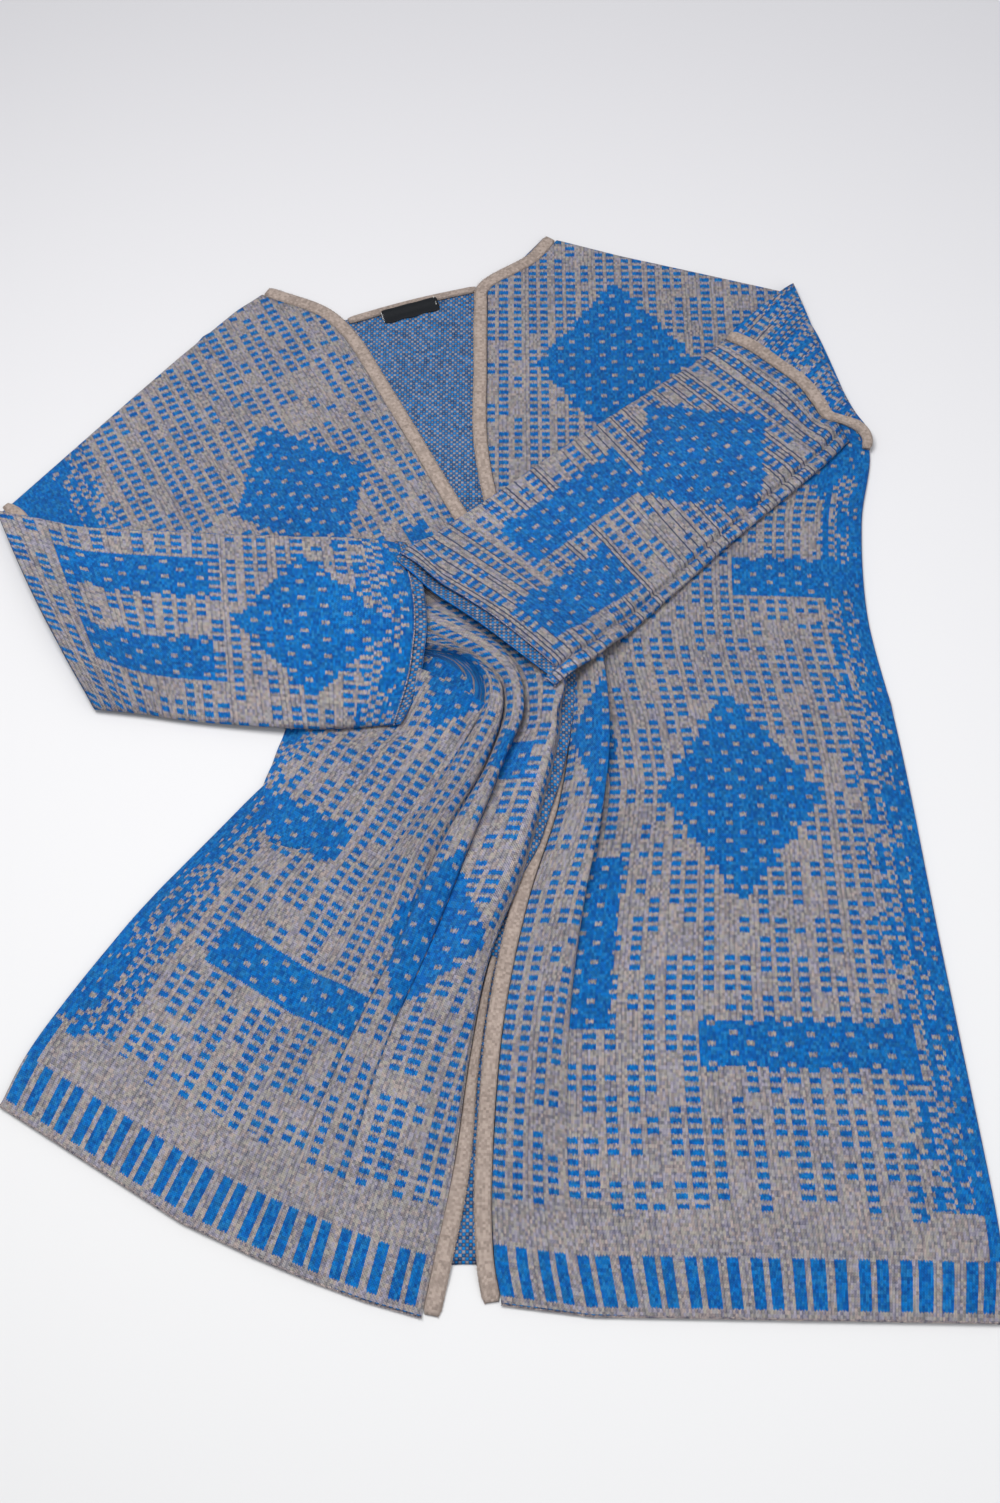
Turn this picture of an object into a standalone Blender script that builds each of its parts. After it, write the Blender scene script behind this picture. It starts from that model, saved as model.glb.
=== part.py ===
# A knitted kimono cardigan laid on a table: back panel, two open fronts, two dropped sleeves folded in
# over the fronts, and plain knitted bands on the neck, the front edges and the armholes.
# Tables are in millimetres on the plan, seen from above: +X to the viewer's right, +Y away to the neck.
import math

import bmesh
import bpy
import numpy as np

MM = 0.001
PLAN_CENTRE = (-40.94, 56.0)   # plan place of the middle of the laid garment
WALL = 2.0                     # thickness of the jacquard cloth
BAND_WALL = 2.6                # the bands are knitted double
BAND_ROUND = 0.3               # share of a band's wall by which its edges are lower than its middle
GAP = 0.3                      # clear space between two pieces or layers
STEEPEST = 0.45                # lowest share of a steep wall's thickness that is made up upwards
CELL = 3.0                     # cell of the pile's height map
CELL_STEPS = 10                # points set on the map for each mesh face, each way
PILE_LOW = (-470.0, -500.0)
PILE_HIGH = (390.0, 620.0)
ROWS_A_GAP = 3                 # mesh rows between two stations of a front
MOST_PINCH = 0.6               # how far the mesh gathers at the foot of a tall fold
CREST_ROUND = 0.8              # below 1, folds are fuller than a sine
BAND_REACH = 15.0              # how far ahead a layer feels what it lies on
CLOTH_REACH = 27.0
SLEEVE_REACH = 20.0
SLEEVE_ROWS = 20
SLEEVE_COLUMNS = 11
SLEEVE_AIR = 1.6               # hollow between the two layers of a flattened sleeve
SLEEVE_PLUMP = 1.2             # and more in its middle
SEAM_ROWS = 4                  # mesh rows over which a sleeve takes up the line of its seam
SEAM_GAP = 1.2                 # at a curved seam, whose two edges have other points

# Back panel, inside up: outline from the viewer's left neck point, round by the left side and the hem.
BACK_OUTLINE = (
    (-204, 492), (-222, 479), (-269, 441), (-303, 381), (-344, 329), (-406, 253), (-418, 233), (-400, 181),
    (-338, 70), (-237, 46), (-183, 36), (-147, 12), (-197, -55), (-259, -134), (-313, -218), (-350, -296),
    (-316, -312), (-215, -374), (-130, -408), (-60, -418), (-27, -416), (0, -416), (120, -436), (250, -442),
    (330, -447), (335, -365), (326, -245), (319, -150), (311, -30), (305, 38), (294, 130), (297, 225),
    (312, 300), (300, 362), (279, 430), (256, 486), (165, 510), (52, 552), (40, 565), (24, 544),
    (8, 520), (-16, 504), (-80, 484), (-141, 461),
)

# The fronts. One row for each fold line from the shoulder to the hem: the mesh columns up to the next
# line, where the crest stands between the two lines, and the plan place at each station.
RIGHT_STATIONS = ("shoulder", "yoke", "chest", "sleeve", "turn", "waist", "flare", "hip", "thigh", "knee",
                  "shin", "hem")
RIGHT_LINES = {
    "side": (8, 0.70, ((-422, 238), (-404, 180), (-341, 66), (-240, 42), (-185, 32), (-150, 13), (-200, -54),
                       (-262, -133), (-291, -176), (-320, -223), (-341, -262), (-354, -298))),
    "flap": (5, 0.50, ((-352, 326), (-300, 262), (-225, 190), (-100, 108), (-32, 84), (-13, 44), (-44, -25),
                       (-92, -108), (-122, -170), (-160, -248), (-190, -315), (-219, -383))),
    "inner roll": (5, 0.50, ((-318, 370), (-262, 308), (-185, 232), (-95, 135), (-14, 74), (2, 38), (-12, -19),
                             (-46, -88), (-74, -165), (-112, -255), (-141, -330), (-168, -407))),
    "outer roll": (6, 0.72, ((-285, 412), (-226, 352), (-148, 270), (-88, 160), (-2, 91), (17, 36), (3, -14),
                             (-24, -92), (-50, -168), (-84, -258), (-105, -340), (-125, -425))),
    "pleat": (3, 0.50, ((-240, 466), (-172, 425), (-108, 330), (-35, 195), (46, 76), (45, 22), (41, -12),
                        (17, -104), (-14, -178), (-45, -256), (-68, -345), (-90, -438))),
    "front edge": (0, 0.50, None),
}
# Height of each line over what it lies on, then of the crest between it and the next line.
RIGHT_RISE = {
    "side": (0, 0, 0, 1, 2, 0, 0, 0, 0, 0, 0, 0),
    "flap": (0, 0, 1, 3, 2, 3, 3, 2, 1, 0, 0, 0),
    "inner roll": (0, 0, 1, 4, 5, 5, 4, 2, 1, 0, 0, 0),
    "outer roll": (0, 0, 1, 4, 5, 5, 4, 2, 1, 0, 0, 0),
    "pleat": (0, 0, 0, 3, 9, 11, 12, 10, 6, 3, 1, 0),
    "front edge": (0, 0, 0, 0, 0, 0, 0, 0, 0, 0, 0, 0),
}
RIGHT_CREST = {
    "side": (0, 1, 3, 4, 2, 6, 5, 3, 2, 1, 1, 0),
    "flap": (0, 0, 2, 6, 9, 10, 8, 4, 2, 1, 0, 0),
    "inner roll": (0, 0, 2, 6, 9, 10, 8, 5, 3, 1, 0, 0),
    "outer roll": (0, 0, 1, 2, 3, 3, 3, 3, 3, 2, 1, 0),
    "pleat": (0, 0, 0, 0, 0, 0, 0, 0, 0, 0, 0, 0),
}

# The left front's stations: shoulder, neck side, neck point, neck, chest, bust, ribs, sleeve, waist, flare,
# hip, thigh, knee, shin and hem.
LEFT_LINES = {
    "front edge": (6, 0.70, None),
    "roll": (9, 0.50, ((110, 537), (98, 512), (82, 488), (80, 458), (80, 392), (80, 306), (82, 218), (82, 108),
                       (82, 24), (77, -46), (62, -145), (51, -240), (50, -345), (55, -405), (62, -448))),
    "side": (0, 0.50, ((258, 492), (270, 472), (280, 452), (288, 428), (303, 368), (318, 306), (304, 226),
                       (300, 130), (311, 38), (317, -30), (325, -150), (332, -245), (341, -365), (342, -412),
                       (336, -453))),
}
LEFT_RISE = {
    "front edge": (0, 0, 0, 0, 0, 0, 0, 0, 0, 0, 0, 0, 0, 0, 0),
    "roll": (0, 0, 0, 0, 0, 0, 1, 2, 2, 2, 1, 0, 0, 0, 0),
    "side": (0, 0, 0, 0, 0, 0, 0, 0, 0, 0, 0, 0, 0, 0, 0),
}
LEFT_CREST = {
    "front edge": (0, 0, 0, 0, 0, 0, 1, 6, 9, 9, 7, 4, 1, 0, 0),
    "roll": (0, 0, 0, 0, 0, 0, 0, 1, 1, 1, 1, 0, 0, 0, 0),
}

# The knitted bands on the front edges, one point for each station: middle of the band and its width.
# The right one is hidden by the pleat from the sleeve to the thigh, and shows partly from there on.
LEFT_FRONT_BAND = ((47, 561, 12), (27, 533, 12), (-13, 502, 12), (-17.5, 472, 12), (-17.5, 400, 12),
                   (-16.5, 312, 12), (-1, 226, 12), (40, 112, 12), (49, 28, 12), (40, -48, 12), (14.5, -138, 12),
                   (-3.6, -236, 12), (-11.4, -345, 12), (-10.5, -408, 12), (-5.5, -441, 12))
RIGHT_FRONT_BAND = ((-213, 494, 12), (-147, 456, 12), (-93, 357, 12), (-20, 206, 12), (47, 84, 0), (51.5, 38, 0),
                    (44, -14, 0), (20, -108, 0), (-4.6, -182, 4), (-18.2, -262, 7), (-27.7, -352, 11.4),
                    (-46.5, -450, 12))
RIGHT_BAND_ENDS = ("sleeve", "thigh")    # the upper stretch ends at the first, the lower begins at the second

# Sleeves, flattened: upper and lower edge of each section from the armhole to the cuff, and how far the
# middle of the section bows out towards the cuff.
LEFT_SLEEVE = (
    ((206, 426), (307, 315), 2), ((158, 389), (266, 272), 0), ((101, 343), (199, 206), 0),
    ((48, 298), (148, 152), 0), ((-37, 222), (91, 92), -2), ((-83, 177), (52, 53), -7),
)
LEFT_SLEEVE_CORNER = (303, 313)    # lower end of its armhole seam
RIGHT_SLEEVE = (
    ((-424, 232), (-322, 36), -13), ((-345, 215), (-285, 31), -3), ((-260, 209), (-234, 23), 0),
    ((-175, 203), (-150, 15), 0), ((-84, 197), (-84, 20), 15),
)

# The shoulder's end is turned over with the left sleeve, so the back panel's outside lies on top there:
# the silhouette beside each of the first points of the left armhole's band.
TURNBACK_SILHOUETTE = ((268, 501), (277, 465), (288, 416), (299, 381), (309, 351), (318, 333))
TURNBACK_WALL = 5.0            # the turned layers share one rounded solid
TURNBACK_SECTION = (0.45, 0.85, 1.0, 1.0, 0.95, 0.8)    # its thickness from the fold to the band
TURNED_BAND_WALL = 4.6         # the band on the turned layers, with what lies under it

# Bands elsewhere: middle line and width.
BACK_NECK_BAND = ((-133, 460.4, 5), (-79, 481, 5), (-28, 496.6, 5))
LEFT_ARM_BAND = ((206, 437, 13), (226, 424, 13), (246, 404, 13), (268, 381, 13), (281, 357, 13), (289, 341, 12),
                 (303, 333, 11), (315, 325, 9))
RIGHT_ARM_BAND = ((-420, 243, 9), (-405, 229, 12), (-390, 196, 13), (-370, 152, 13), (-345, 108, 13))

LABEL = ((-108, 465), (-57.5, 483.5), (-54, 471.5), (-104.5, 453))
LABEL_WALL = 0.8

COLOURS = {
    "cloth": (0.16, 0.17, 0.21),
    "inside": (0.10, 0.16, 0.27),
    "band": (0.36, 0.30, 0.25),
    "label": (0.01, 0.01, 0.012),
}


def clear_scene():
    for item in list(bpy.data.objects):
        bpy.data.objects.remove(item, do_unlink=True)


def material(name, roughness):
    found = bpy.data.materials.get(name)
    if found:
        return found
    made = bpy.data.materials.new(name)
    made.use_nodes = True
    shader = made.node_tree.nodes["Principled BSDF"]
    shader.inputs["Base Color"].default_value = (*COLOURS[name], 1.0)
    shader.inputs["Roughness"].default_value = roughness
    shader.inputs["Metallic"].default_value = 0.0
    return made


def smooth_between(stations, per_gap):
    # A smooth curve through the stations, with per_gap steps from each station to the next.
    points = np.asarray(stations, dtype=float)
    ahead = np.vstack([2 * points[:1] - points[1:2], points, 2 * points[-1:] - points[-2:-1]])
    steps = []
    for place in range(len(points) - 1):
        before, start, end, after = ahead[place:place + 4]
        for t in np.arange(per_gap) / per_gap:
            steps.append(0.5 * ((2 * start) + (end - before) * t
                                + (2 * before - 5 * start + 4 * end - after) * t ** 2
                                + (3 * start - before - 3 * end + after) * t ** 3))
    steps.append(points[-1])
    return np.array(steps)


def inside_outline(x, y, outline):
    inside = np.zeros(x.shape, dtype=bool)
    for (x1, y1), (x2, y2) in zip(outline, outline[1:] + outline[:1]):
        crosses = (y1 > y) != (y2 > y)
        rise = (y2 - y1) if y2 != y1 else 1.0
        inside ^= crosses & (x < (x2 - x1) * (y - y1) / rise + x1)
    return inside


class Pile:
    # The height of everything laid so far, on a square map of the plan.
    def __init__(self):
        self.shape = tuple(int((high - low) / CELL) for low, high in zip(PILE_LOW, PILE_HIGH))
        self.height = np.zeros(self.shape)

    def copy(self):
        other = Pile()
        other.height = self.height.copy()
        return other

    def lay_outline(self, outline, height):
        x = PILE_LOW[0] + CELL * np.arange(self.shape[0])
        y = PILE_LOW[1] + CELL * np.arange(self.shape[1])
        x, y = np.meshgrid(x, y, indexing="ij")
        covered = inside_outline(x, y, outline)
        self.height[covered] = np.maximum(self.height[covered], height)

    def lay_grid(self, top):
        steps = np.linspace(0, 1, CELL_STEPS, endpoint=False)
        for row in range(top.shape[0] - 1):
            for t in steps:
                line = top[row] * (1 - t) + top[row + 1] * t
                for s in steps:
                    points = line[:-1] * (1 - s) + line[1:] * s
                    column = np.rint((points[:, 0] - PILE_LOW[0]) / CELL).astype(int)
                    place = np.rint((points[:, 1] - PILE_LOW[1]) / CELL).astype(int)
                    np.maximum.at(self.height, (column, place), points[:, 2])

    def surface(self, reach):
        # The height map seen by a layer that bridges hollows: the highest spot in reach, evened out.
        cells = max(1, int(round(reach / CELL)))
        widest = self.height
        for axis in (0, 1):
            shifted = [np.roll(widest, step, axis) for step in range(-cells, cells + 1)]
            widest = np.max(shifted, axis=0)
        for axis in (0, 1):
            half = max(1, cells // 2)
            shifted = [np.roll(widest, step, axis) for step in range(-half, half + 1)]
            widest = np.mean(shifted, axis=0)
        return widest

    def under(self, plan, reach):
        surface = self.surface(reach)
        x = (plan[..., 0] - PILE_LOW[0]) / CELL
        y = (plan[..., 1] - PILE_LOW[1]) / CELL
        column = np.floor(x).astype(int)
        place = np.floor(y).astype(int)
        s = x - column
        t = y - place
        low = surface[column, place] * (1 - s) + surface[column + 1, place] * s
        high = surface[column, place + 1] * (1 - s) + surface[column + 1, place + 1] * s
        return low * (1 - t) + high * t


def steepness(top):
    # Share of each point's normal that points up.
    down = np.gradient(top, axis=0)
    across = np.gradient(top, axis=1)
    normal = np.cross(down, across)
    length = np.linalg.norm(normal, axis=2)
    return np.abs(normal[..., 2]) / np.maximum(length, 1e-6)


def face_outwards(mesh):
    shape = bmesh.new()
    shape.from_mesh(mesh)
    bmesh.ops.recalc_face_normals(shape, faces=shape.faces)
    if shape.calc_volume(signed=True) < 0:
        bmesh.ops.reverse_faces(shape, faces=shape.faces)
    shape.to_mesh(mesh)
    shape.free()


def add_object(name, points, faces, finish, roughness=0.9):
    placed = [((x - PLAN_CENTRE[0]) * MM, (y - PLAN_CENTRE[1]) * MM, z * MM) for x, y, z in points]
    mesh = bpy.data.meshes.new(name)
    mesh.from_pydata(placed, [], [tuple(int(number) for number in face) for face in faces])
    face_outwards(mesh)
    mesh.shade_smooth()
    mesh.set_sharp_from_angle(angle=math.radians(40))
    mesh.materials.append(material(finish, roughness))
    item = bpy.data.objects.new(name, mesh)
    bpy.context.scene.collection.objects.link(item)
    return item


def quads_between(first, second):
    # Faces between two lines of point numbers.
    return list(zip(first, first[1:], second[1:], second))


def add_wall(name, top, bottom, finish):
    # A closed sheet between two grids of points of the same size.
    rows, columns = top.shape[:2]
    count = rows * columns
    number = np.arange(count).reshape(rows, columns)
    faces = []
    for row in range(rows - 1):
        faces += quads_between(number[row], number[row + 1])
        faces += quads_between(number[row] + count, number[row + 1] + count)
    rim = np.concatenate([number[0], number[1:, -1], number[-1, -2::-1], number[-2::-1, 0]])
    faces += quads_between(rim, rim + count)
    points = np.vstack([top.reshape(-1, 3), bottom.reshape(-1, 3)])
    return add_object(name, points.tolist(), faces, finish)


def with_height(plan, height):
    return np.dstack([plan, height])


def crest_shape(t, crest_at):
    # From 0 at one fold line to 1 at the crest and back to 0 at the next line, round on top.
    bent = t ** (math.log(0.5) / math.log(crest_at))
    return np.sin(math.pi * bent) ** CREST_ROUND


def front_grid(lines, rise, crest, front_edge):
    # Plan places and heights over the ground of a front, from its fold lines.
    names = list(lines)
    places = {name: smooth_between(lines[name][2], ROWS_A_GAP) for name in names if lines[name][2]}
    places["front edge"] = front_edge
    rises = {name: smooth_between(np.array(rise[name])[:, None], ROWS_A_GAP)[:, 0] for name in names}
    plan = [places[names[0]][:, None, :]]
    lift = [rises[names[0]][:, None]]
    for name, following in zip(names, names[1:]):
        columns, crest_at, _ = lines[name]
        t = np.arange(1, columns + 1) / columns
        crests = smooth_between(np.array(crest[name])[:, None], ROWS_A_GAP)[:, 0]
        width = np.linalg.norm(places[following] - places[name], axis=1)
        pinch = np.clip(2.0 * crests / np.maximum(width, 1.0), 0.0, MOST_PINCH)[:, None]
        spread = t[None, :] - pinch * np.sin(2 * math.pi * t[None, :]) / (2 * math.pi)
        eased = t * t * (3 - 2 * t)
        plan.append(places[name][:, None, :] * (1 - spread[..., None])
                    + places[following][:, None, :] * spread[..., None])
        lift.append(rises[name][:, None] * (1 - eased) + rises[following][:, None] * eased
                    + np.maximum(crests, 0.0)[:, None] * crest_shape(t, crest_at)[None, :])
    return np.concatenate(plan, axis=1), np.maximum(np.concatenate(lift, axis=1), 0.0)


def add_front(name, lines, rise, crest, front_edge, pile):
    # Returns the front's top, and the same as it would be with no folds.
    plan, lift = front_grid(lines, rise, crest, front_edge)
    ground = pile.under(plan, CLOTH_REACH) + GAP
    bottom = with_height(plan, ground + lift)
    upright = np.maximum(steepness(bottom), STEEPEST)
    top = with_height(plan, ground + lift + WALL / upright)
    add_wall(name, top, bottom, "cloth")
    return top, with_height(plan, ground + WALL)


def band_line(centre, share, clear=0.0):
    # A line along a band: share -0.5 is one edge, 0 the middle and 0.5 the other edge, moved by clear.
    path = smooth_between(centre, ROWS_A_GAP)
    along = np.gradient(path[:, :2], axis=0)
    along /= np.linalg.norm(along, axis=1)[:, None]
    side = np.stack([along[:, 1], -along[:, 0]], axis=1)
    return path[:, :2] + side * (share * path[:, 2:3] + clear)


def add_band(name, centre, pile, wall=BAND_WALL, reach=BAND_REACH, rows=slice(None)):
    plan = np.stack([band_line(centre, share)[rows] for share in (-0.5, 0.0, 0.5)], axis=1)
    ground = pile.under(plan, reach) + GAP
    top = with_height(plan, ground + wall)
    top[:, (0, -1), 2] -= BAND_ROUND * BAND_WALL
    add_wall(name, top, with_height(plan, ground), "band")
    return top


def add_back():
    # One flat sheet, so that the garment rests on its whole back.
    count = len(BACK_OUTLINE)
    points = [(x, y, z) for z in (0.0, WALL) for x, y in BACK_OUTLINE]
    ring = np.append(np.arange(count), 0)
    faces = [tuple(range(count)), tuple(range(count, 2 * count)), *quads_between(ring, ring + count)]
    add_object("back_panel", points, faces, "inside")


def add_turnback(pile):
    outer = smooth_between(TURNBACK_SILHOUETTE, ROWS_A_GAP)
    inner = band_line(LEFT_ARM_BAND, -0.5, -GAP)[:len(outer)]
    t = np.linspace(0, 1, len(TURNBACK_SECTION))[None, :, None]
    plan = outer[:, None] * (1 - t) + inner[:, None] * t
    ground = pile.under(plan, CLOTH_REACH) + GAP
    top = with_height(plan, ground + TURNBACK_WALL * np.array(TURNBACK_SECTION)[None, :])
    add_wall("shoulder_turnback_left", top, with_height(plan, ground), "cloth")


def spread_evenly(line, count):
    # The same line with points at even distances.
    steps = np.concatenate([[0.0], np.cumsum(np.linalg.norm(np.diff(line, axis=0), axis=1))])
    wanted = np.linspace(0, steps[-1], count)
    return np.stack([np.interp(wanted, steps, line[:, axis]) for axis in (0, 1)], axis=1)


def sleeve_grid(sections, inset, seam):
    rows = np.array([[*upper, *lower, bow] for upper, lower, bow in sections], dtype=float)
    gaps = len(sections) - 1
    rows = smooth_between(rows, max(1, round(SLEEVE_ROWS / gaps)))
    length = np.linalg.norm(rows[:, 2:4] - rows[:, :2], axis=1)
    t = np.linspace(0, 1, SLEEVE_COLUMNS + 1)[None, :]
    t = inset / length[:, None] + t * (1 - 2 * inset / length[:, None])
    middle = 0.5 * (rows[:, :2] + rows[:, 2:4])
    axis = np.gradient(middle, axis=0)
    axis /= np.linalg.norm(axis, axis=1)[:, None]
    plan = rows[:, None, :2] * (1 - t[..., None]) + rows[:, None, 2:4] * t[..., None]
    bow = rows[:, 4:5] * np.sin(math.pi * t)
    plan = plan + axis[:, None, :] * bow[..., None]
    if seam is not None:
        shift = spread_evenly(seam, plan.shape[1]) - plan[0]
        for row in range(SEAM_ROWS):
            plan[row] += shift * (1 - row / SEAM_ROWS)
    return plan


def add_sleeve(name, sections, pile, seam=None):
    # A flattened tube, open at the cuff: an outer skin round an inner one.
    plan = sleeve_grid(sections, WALL * 1.5, seam)
    ground = pile.under(plan, SLEEVE_REACH) + GAP
    full = 2 * WALL + SLEEVE_AIR
    across = np.linspace(0, 1, plan.shape[1])
    plump = SLEEVE_PLUMP * np.sin(math.pi * across)[None, :]
    rows = plan.shape[0]

    def skin(depth, edge):
        low = with_height(plan, ground + depth)
        high = with_height(plan, ground + full + plump - depth)
        side = plan[:, -1] - plan[:, 0]
        side /= np.linalg.norm(side, axis=1)[:, None]
        middle = 0.5 * (low[:, (0, -1), 2] + high[:, (0, -1), 2])
        near = np.column_stack([plan[:, 0] - side * edge, middle[:, 0]])
        far = np.column_stack([plan[:, -1] + side * edge, middle[:, 1]])
        return np.concatenate([low, far[:, None], high[:, ::-1], near[:, None]], axis=1)

    outer = skin(0.0, WALL * 1.3)
    inner = skin(WALL, 0.2)
    inner[0] += (inner[1] - inner[0]) * 0.25
    loop = outer.shape[1]
    width = plan.shape[1]
    numbers = np.arange(2 * rows * loop).reshape(2, rows, loop)
    ring = np.append(np.arange(loop), 0)
    faces = []
    for layer in numbers:
        for row in range(rows - 1):
            faces += quads_between(layer[row][ring], layer[row + 1][ring])
        low = layer[0, :width]
        high = layer[0, 2 * width:width:-1]
        faces += quads_between(low, high)
        faces += [(low[0], high[0], layer[0, -1]), (low[-1], high[-1], layer[0, width])]
    faces += quads_between(numbers[0, -1][ring], numbers[1, -1][ring])
    points = np.vstack([outer.reshape(-1, 3), inner.reshape(-1, 3)])
    add_object(name, points.tolist(), faces, "cloth")
    return with_height(plan, ground + full + plump)


def add_label(pile):
    corners = np.array(LABEL, dtype=float)
    plan = np.array([[corners[0], corners[1]], [corners[3], corners[2]]])
    ground = pile.under(plan, CELL) + GAP
    ground[:] = ground.max()
    add_wall("neck_label", with_height(plan, ground + LABEL_WALL), with_height(plan, ground), "label")


def main():
    clear_scene()
    add_back()
    pile = Pile()
    pile.lay_outline(BACK_OUTLINE, WALL)
    bare_back = pile.copy()
    add_label(bare_back)
    add_band("back_neck_band", BACK_NECK_BAND, bare_back, reach=CELL)

    left_edge = band_line(LEFT_FRONT_BAND, -0.5, -GAP)
    left_top, left_flat = add_front("front_left", LEFT_LINES, LEFT_RISE, LEFT_CREST, left_edge, bare_back)
    left_band_top = add_band("front_band_left", LEFT_FRONT_BAND, bare_back)
    pile.lay_grid(left_flat)
    pile.lay_grid(left_band_top)

    right_edge = band_line(RIGHT_FRONT_BAND, 0.5, GAP)
    right_top, _ = add_front("front_right", RIGHT_LINES, RIGHT_RISE, RIGHT_CREST, right_edge, pile)
    pile.lay_grid(left_top)
    add_turnback(pile)
    add_band("armhole_band_left", LEFT_ARM_BAND, pile, wall=TURNED_BAND_WALL)
    upper_end, lower_start = (ROWS_A_GAP * RIGHT_STATIONS.index(station) for station in RIGHT_BAND_ENDS)
    neck_band = add_band("front_band_right_upper", RIGHT_FRONT_BAND, pile, rows=slice(0, upper_end + 1))
    add_band("front_band_right_lower", RIGHT_FRONT_BAND, bare_back, rows=slice(lower_start, None))
    for top in (right_top, neck_band):
        pile.lay_grid(top)
    right_arm = add_band("armhole_band_right", RIGHT_ARM_BAND, pile)
    pile.lay_grid(right_arm)
    right_sleeve = add_sleeve("sleeve_right", RIGHT_SLEEVE, pile)
    pile.lay_grid(right_sleeve)
    seam = band_line(LEFT_ARM_BAND, 0.5, SEAM_GAP)
    seam = np.vstack([seam[seam[:, 0] < LEFT_SLEEVE_CORNER[0] - 8], [LEFT_SLEEVE_CORNER]])
    add_sleeve("sleeve_left", LEFT_SLEEVE, pile, seam)


main()
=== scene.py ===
# Looks of a knitted kimono cardigan that lies on a pale table: jacquard cloth, plain knitted bands, label.
# Tables are in millimetres on the plan, as the solids' are: +X to the viewer's right, +Y away to the neck.
import math

import bmesh
import bpy
import numpy as np
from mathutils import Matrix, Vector, geometry


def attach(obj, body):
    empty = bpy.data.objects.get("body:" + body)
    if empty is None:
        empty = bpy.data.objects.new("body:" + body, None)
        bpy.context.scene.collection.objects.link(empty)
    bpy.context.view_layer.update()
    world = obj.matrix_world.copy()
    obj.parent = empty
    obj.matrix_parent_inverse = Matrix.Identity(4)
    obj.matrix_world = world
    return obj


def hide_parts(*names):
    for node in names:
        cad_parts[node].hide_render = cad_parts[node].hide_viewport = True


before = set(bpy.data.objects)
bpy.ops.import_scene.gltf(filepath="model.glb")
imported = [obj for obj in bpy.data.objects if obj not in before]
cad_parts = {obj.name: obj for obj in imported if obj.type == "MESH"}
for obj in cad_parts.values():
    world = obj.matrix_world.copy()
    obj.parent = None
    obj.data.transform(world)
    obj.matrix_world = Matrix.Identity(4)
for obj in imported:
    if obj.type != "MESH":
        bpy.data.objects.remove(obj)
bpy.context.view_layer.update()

millimetre = 0.001
planCentre = (-40.94, 56.0)       # plan place of the middle of the laid garment
waleWidth = 1.96                  # one stitch across
courseHeight = 2.0                # one stitch along
clothWall = 1.9
gap = 0.3


# Camera, light and table

cameraSpec = {"tilt": 58.0, "distance": 1.65, "lens": 50.0, "sensor": 36.0}
lampSpec = {
    # size, power, place, colour
    "key": (0.8, 23.0, (-0.36, 0.0, 1.6), (1.0, 0.99, 0.975)),
    "fill": (2.2, 14.0, (1.2, -1.2, 1.6), (0.97, 0.985, 1.0)),
}
airSpec = {"colour": (0.95, 0.965, 1.0, 1.0), "strength": 0.44}
tableSpec = {
    "half": 4.0,
    # near and far: painted shade, the table darker away from the camera as the light falls off
    "near": (0.765, 0.765, 0.77, 1.0),
    "far": (0.73, 0.725, 0.75, 1.0),
    "fromTo": (-0.45, 0.75),
    "left": 0.90,                  # painted shade: how pale its left is beside its right, against the key lamp's extra light there
}


def link(name, data):
    # A new object in the scene, at the origin.
    made = bpy.data.objects.new(name, data)
    bpy.context.scene.collection.objects.link(made)
    return made


def makeCamera(spec):
    data = bpy.data.cameras.new("photoCamera")
    data.sensor_fit = "VERTICAL"
    data.sensor_height = spec["sensor"]
    data.lens = spec["lens"]
    camera = link("photoCamera", data)
    tilt = math.radians(spec["tilt"])
    camera.location = (-planCentre[0] * millimetre,
                       -planCentre[1] * millimetre - spec["distance"] * math.cos(tilt),
                       spec["distance"] * math.sin(tilt))
    camera.rotation_euler = (math.pi / 2 - tilt, 0.0, 0.0)
    bpy.context.scene.camera = camera


def makeLamps(spec, air):
    for name, (size, power, place, colour) in spec.items():
        data = bpy.data.lights.new(name, "AREA")
        data.size = size
        data.energy = power
        data.color = colour
        lamp = link(name, data)
        lamp.location = place
        lamp.rotation_euler = Vector(place).to_track_quat("Z", "Y").to_euler()
    world = bpy.data.worlds.new("studioAir")
    world.use_nodes = True
    world.node_tree.nodes["Background"].inputs["Color"].default_value = air["colour"]
    world.node_tree.nodes["Background"].inputs["Strength"].default_value = air["strength"]
    bpy.context.scene.world = world


# Shader maths

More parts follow.
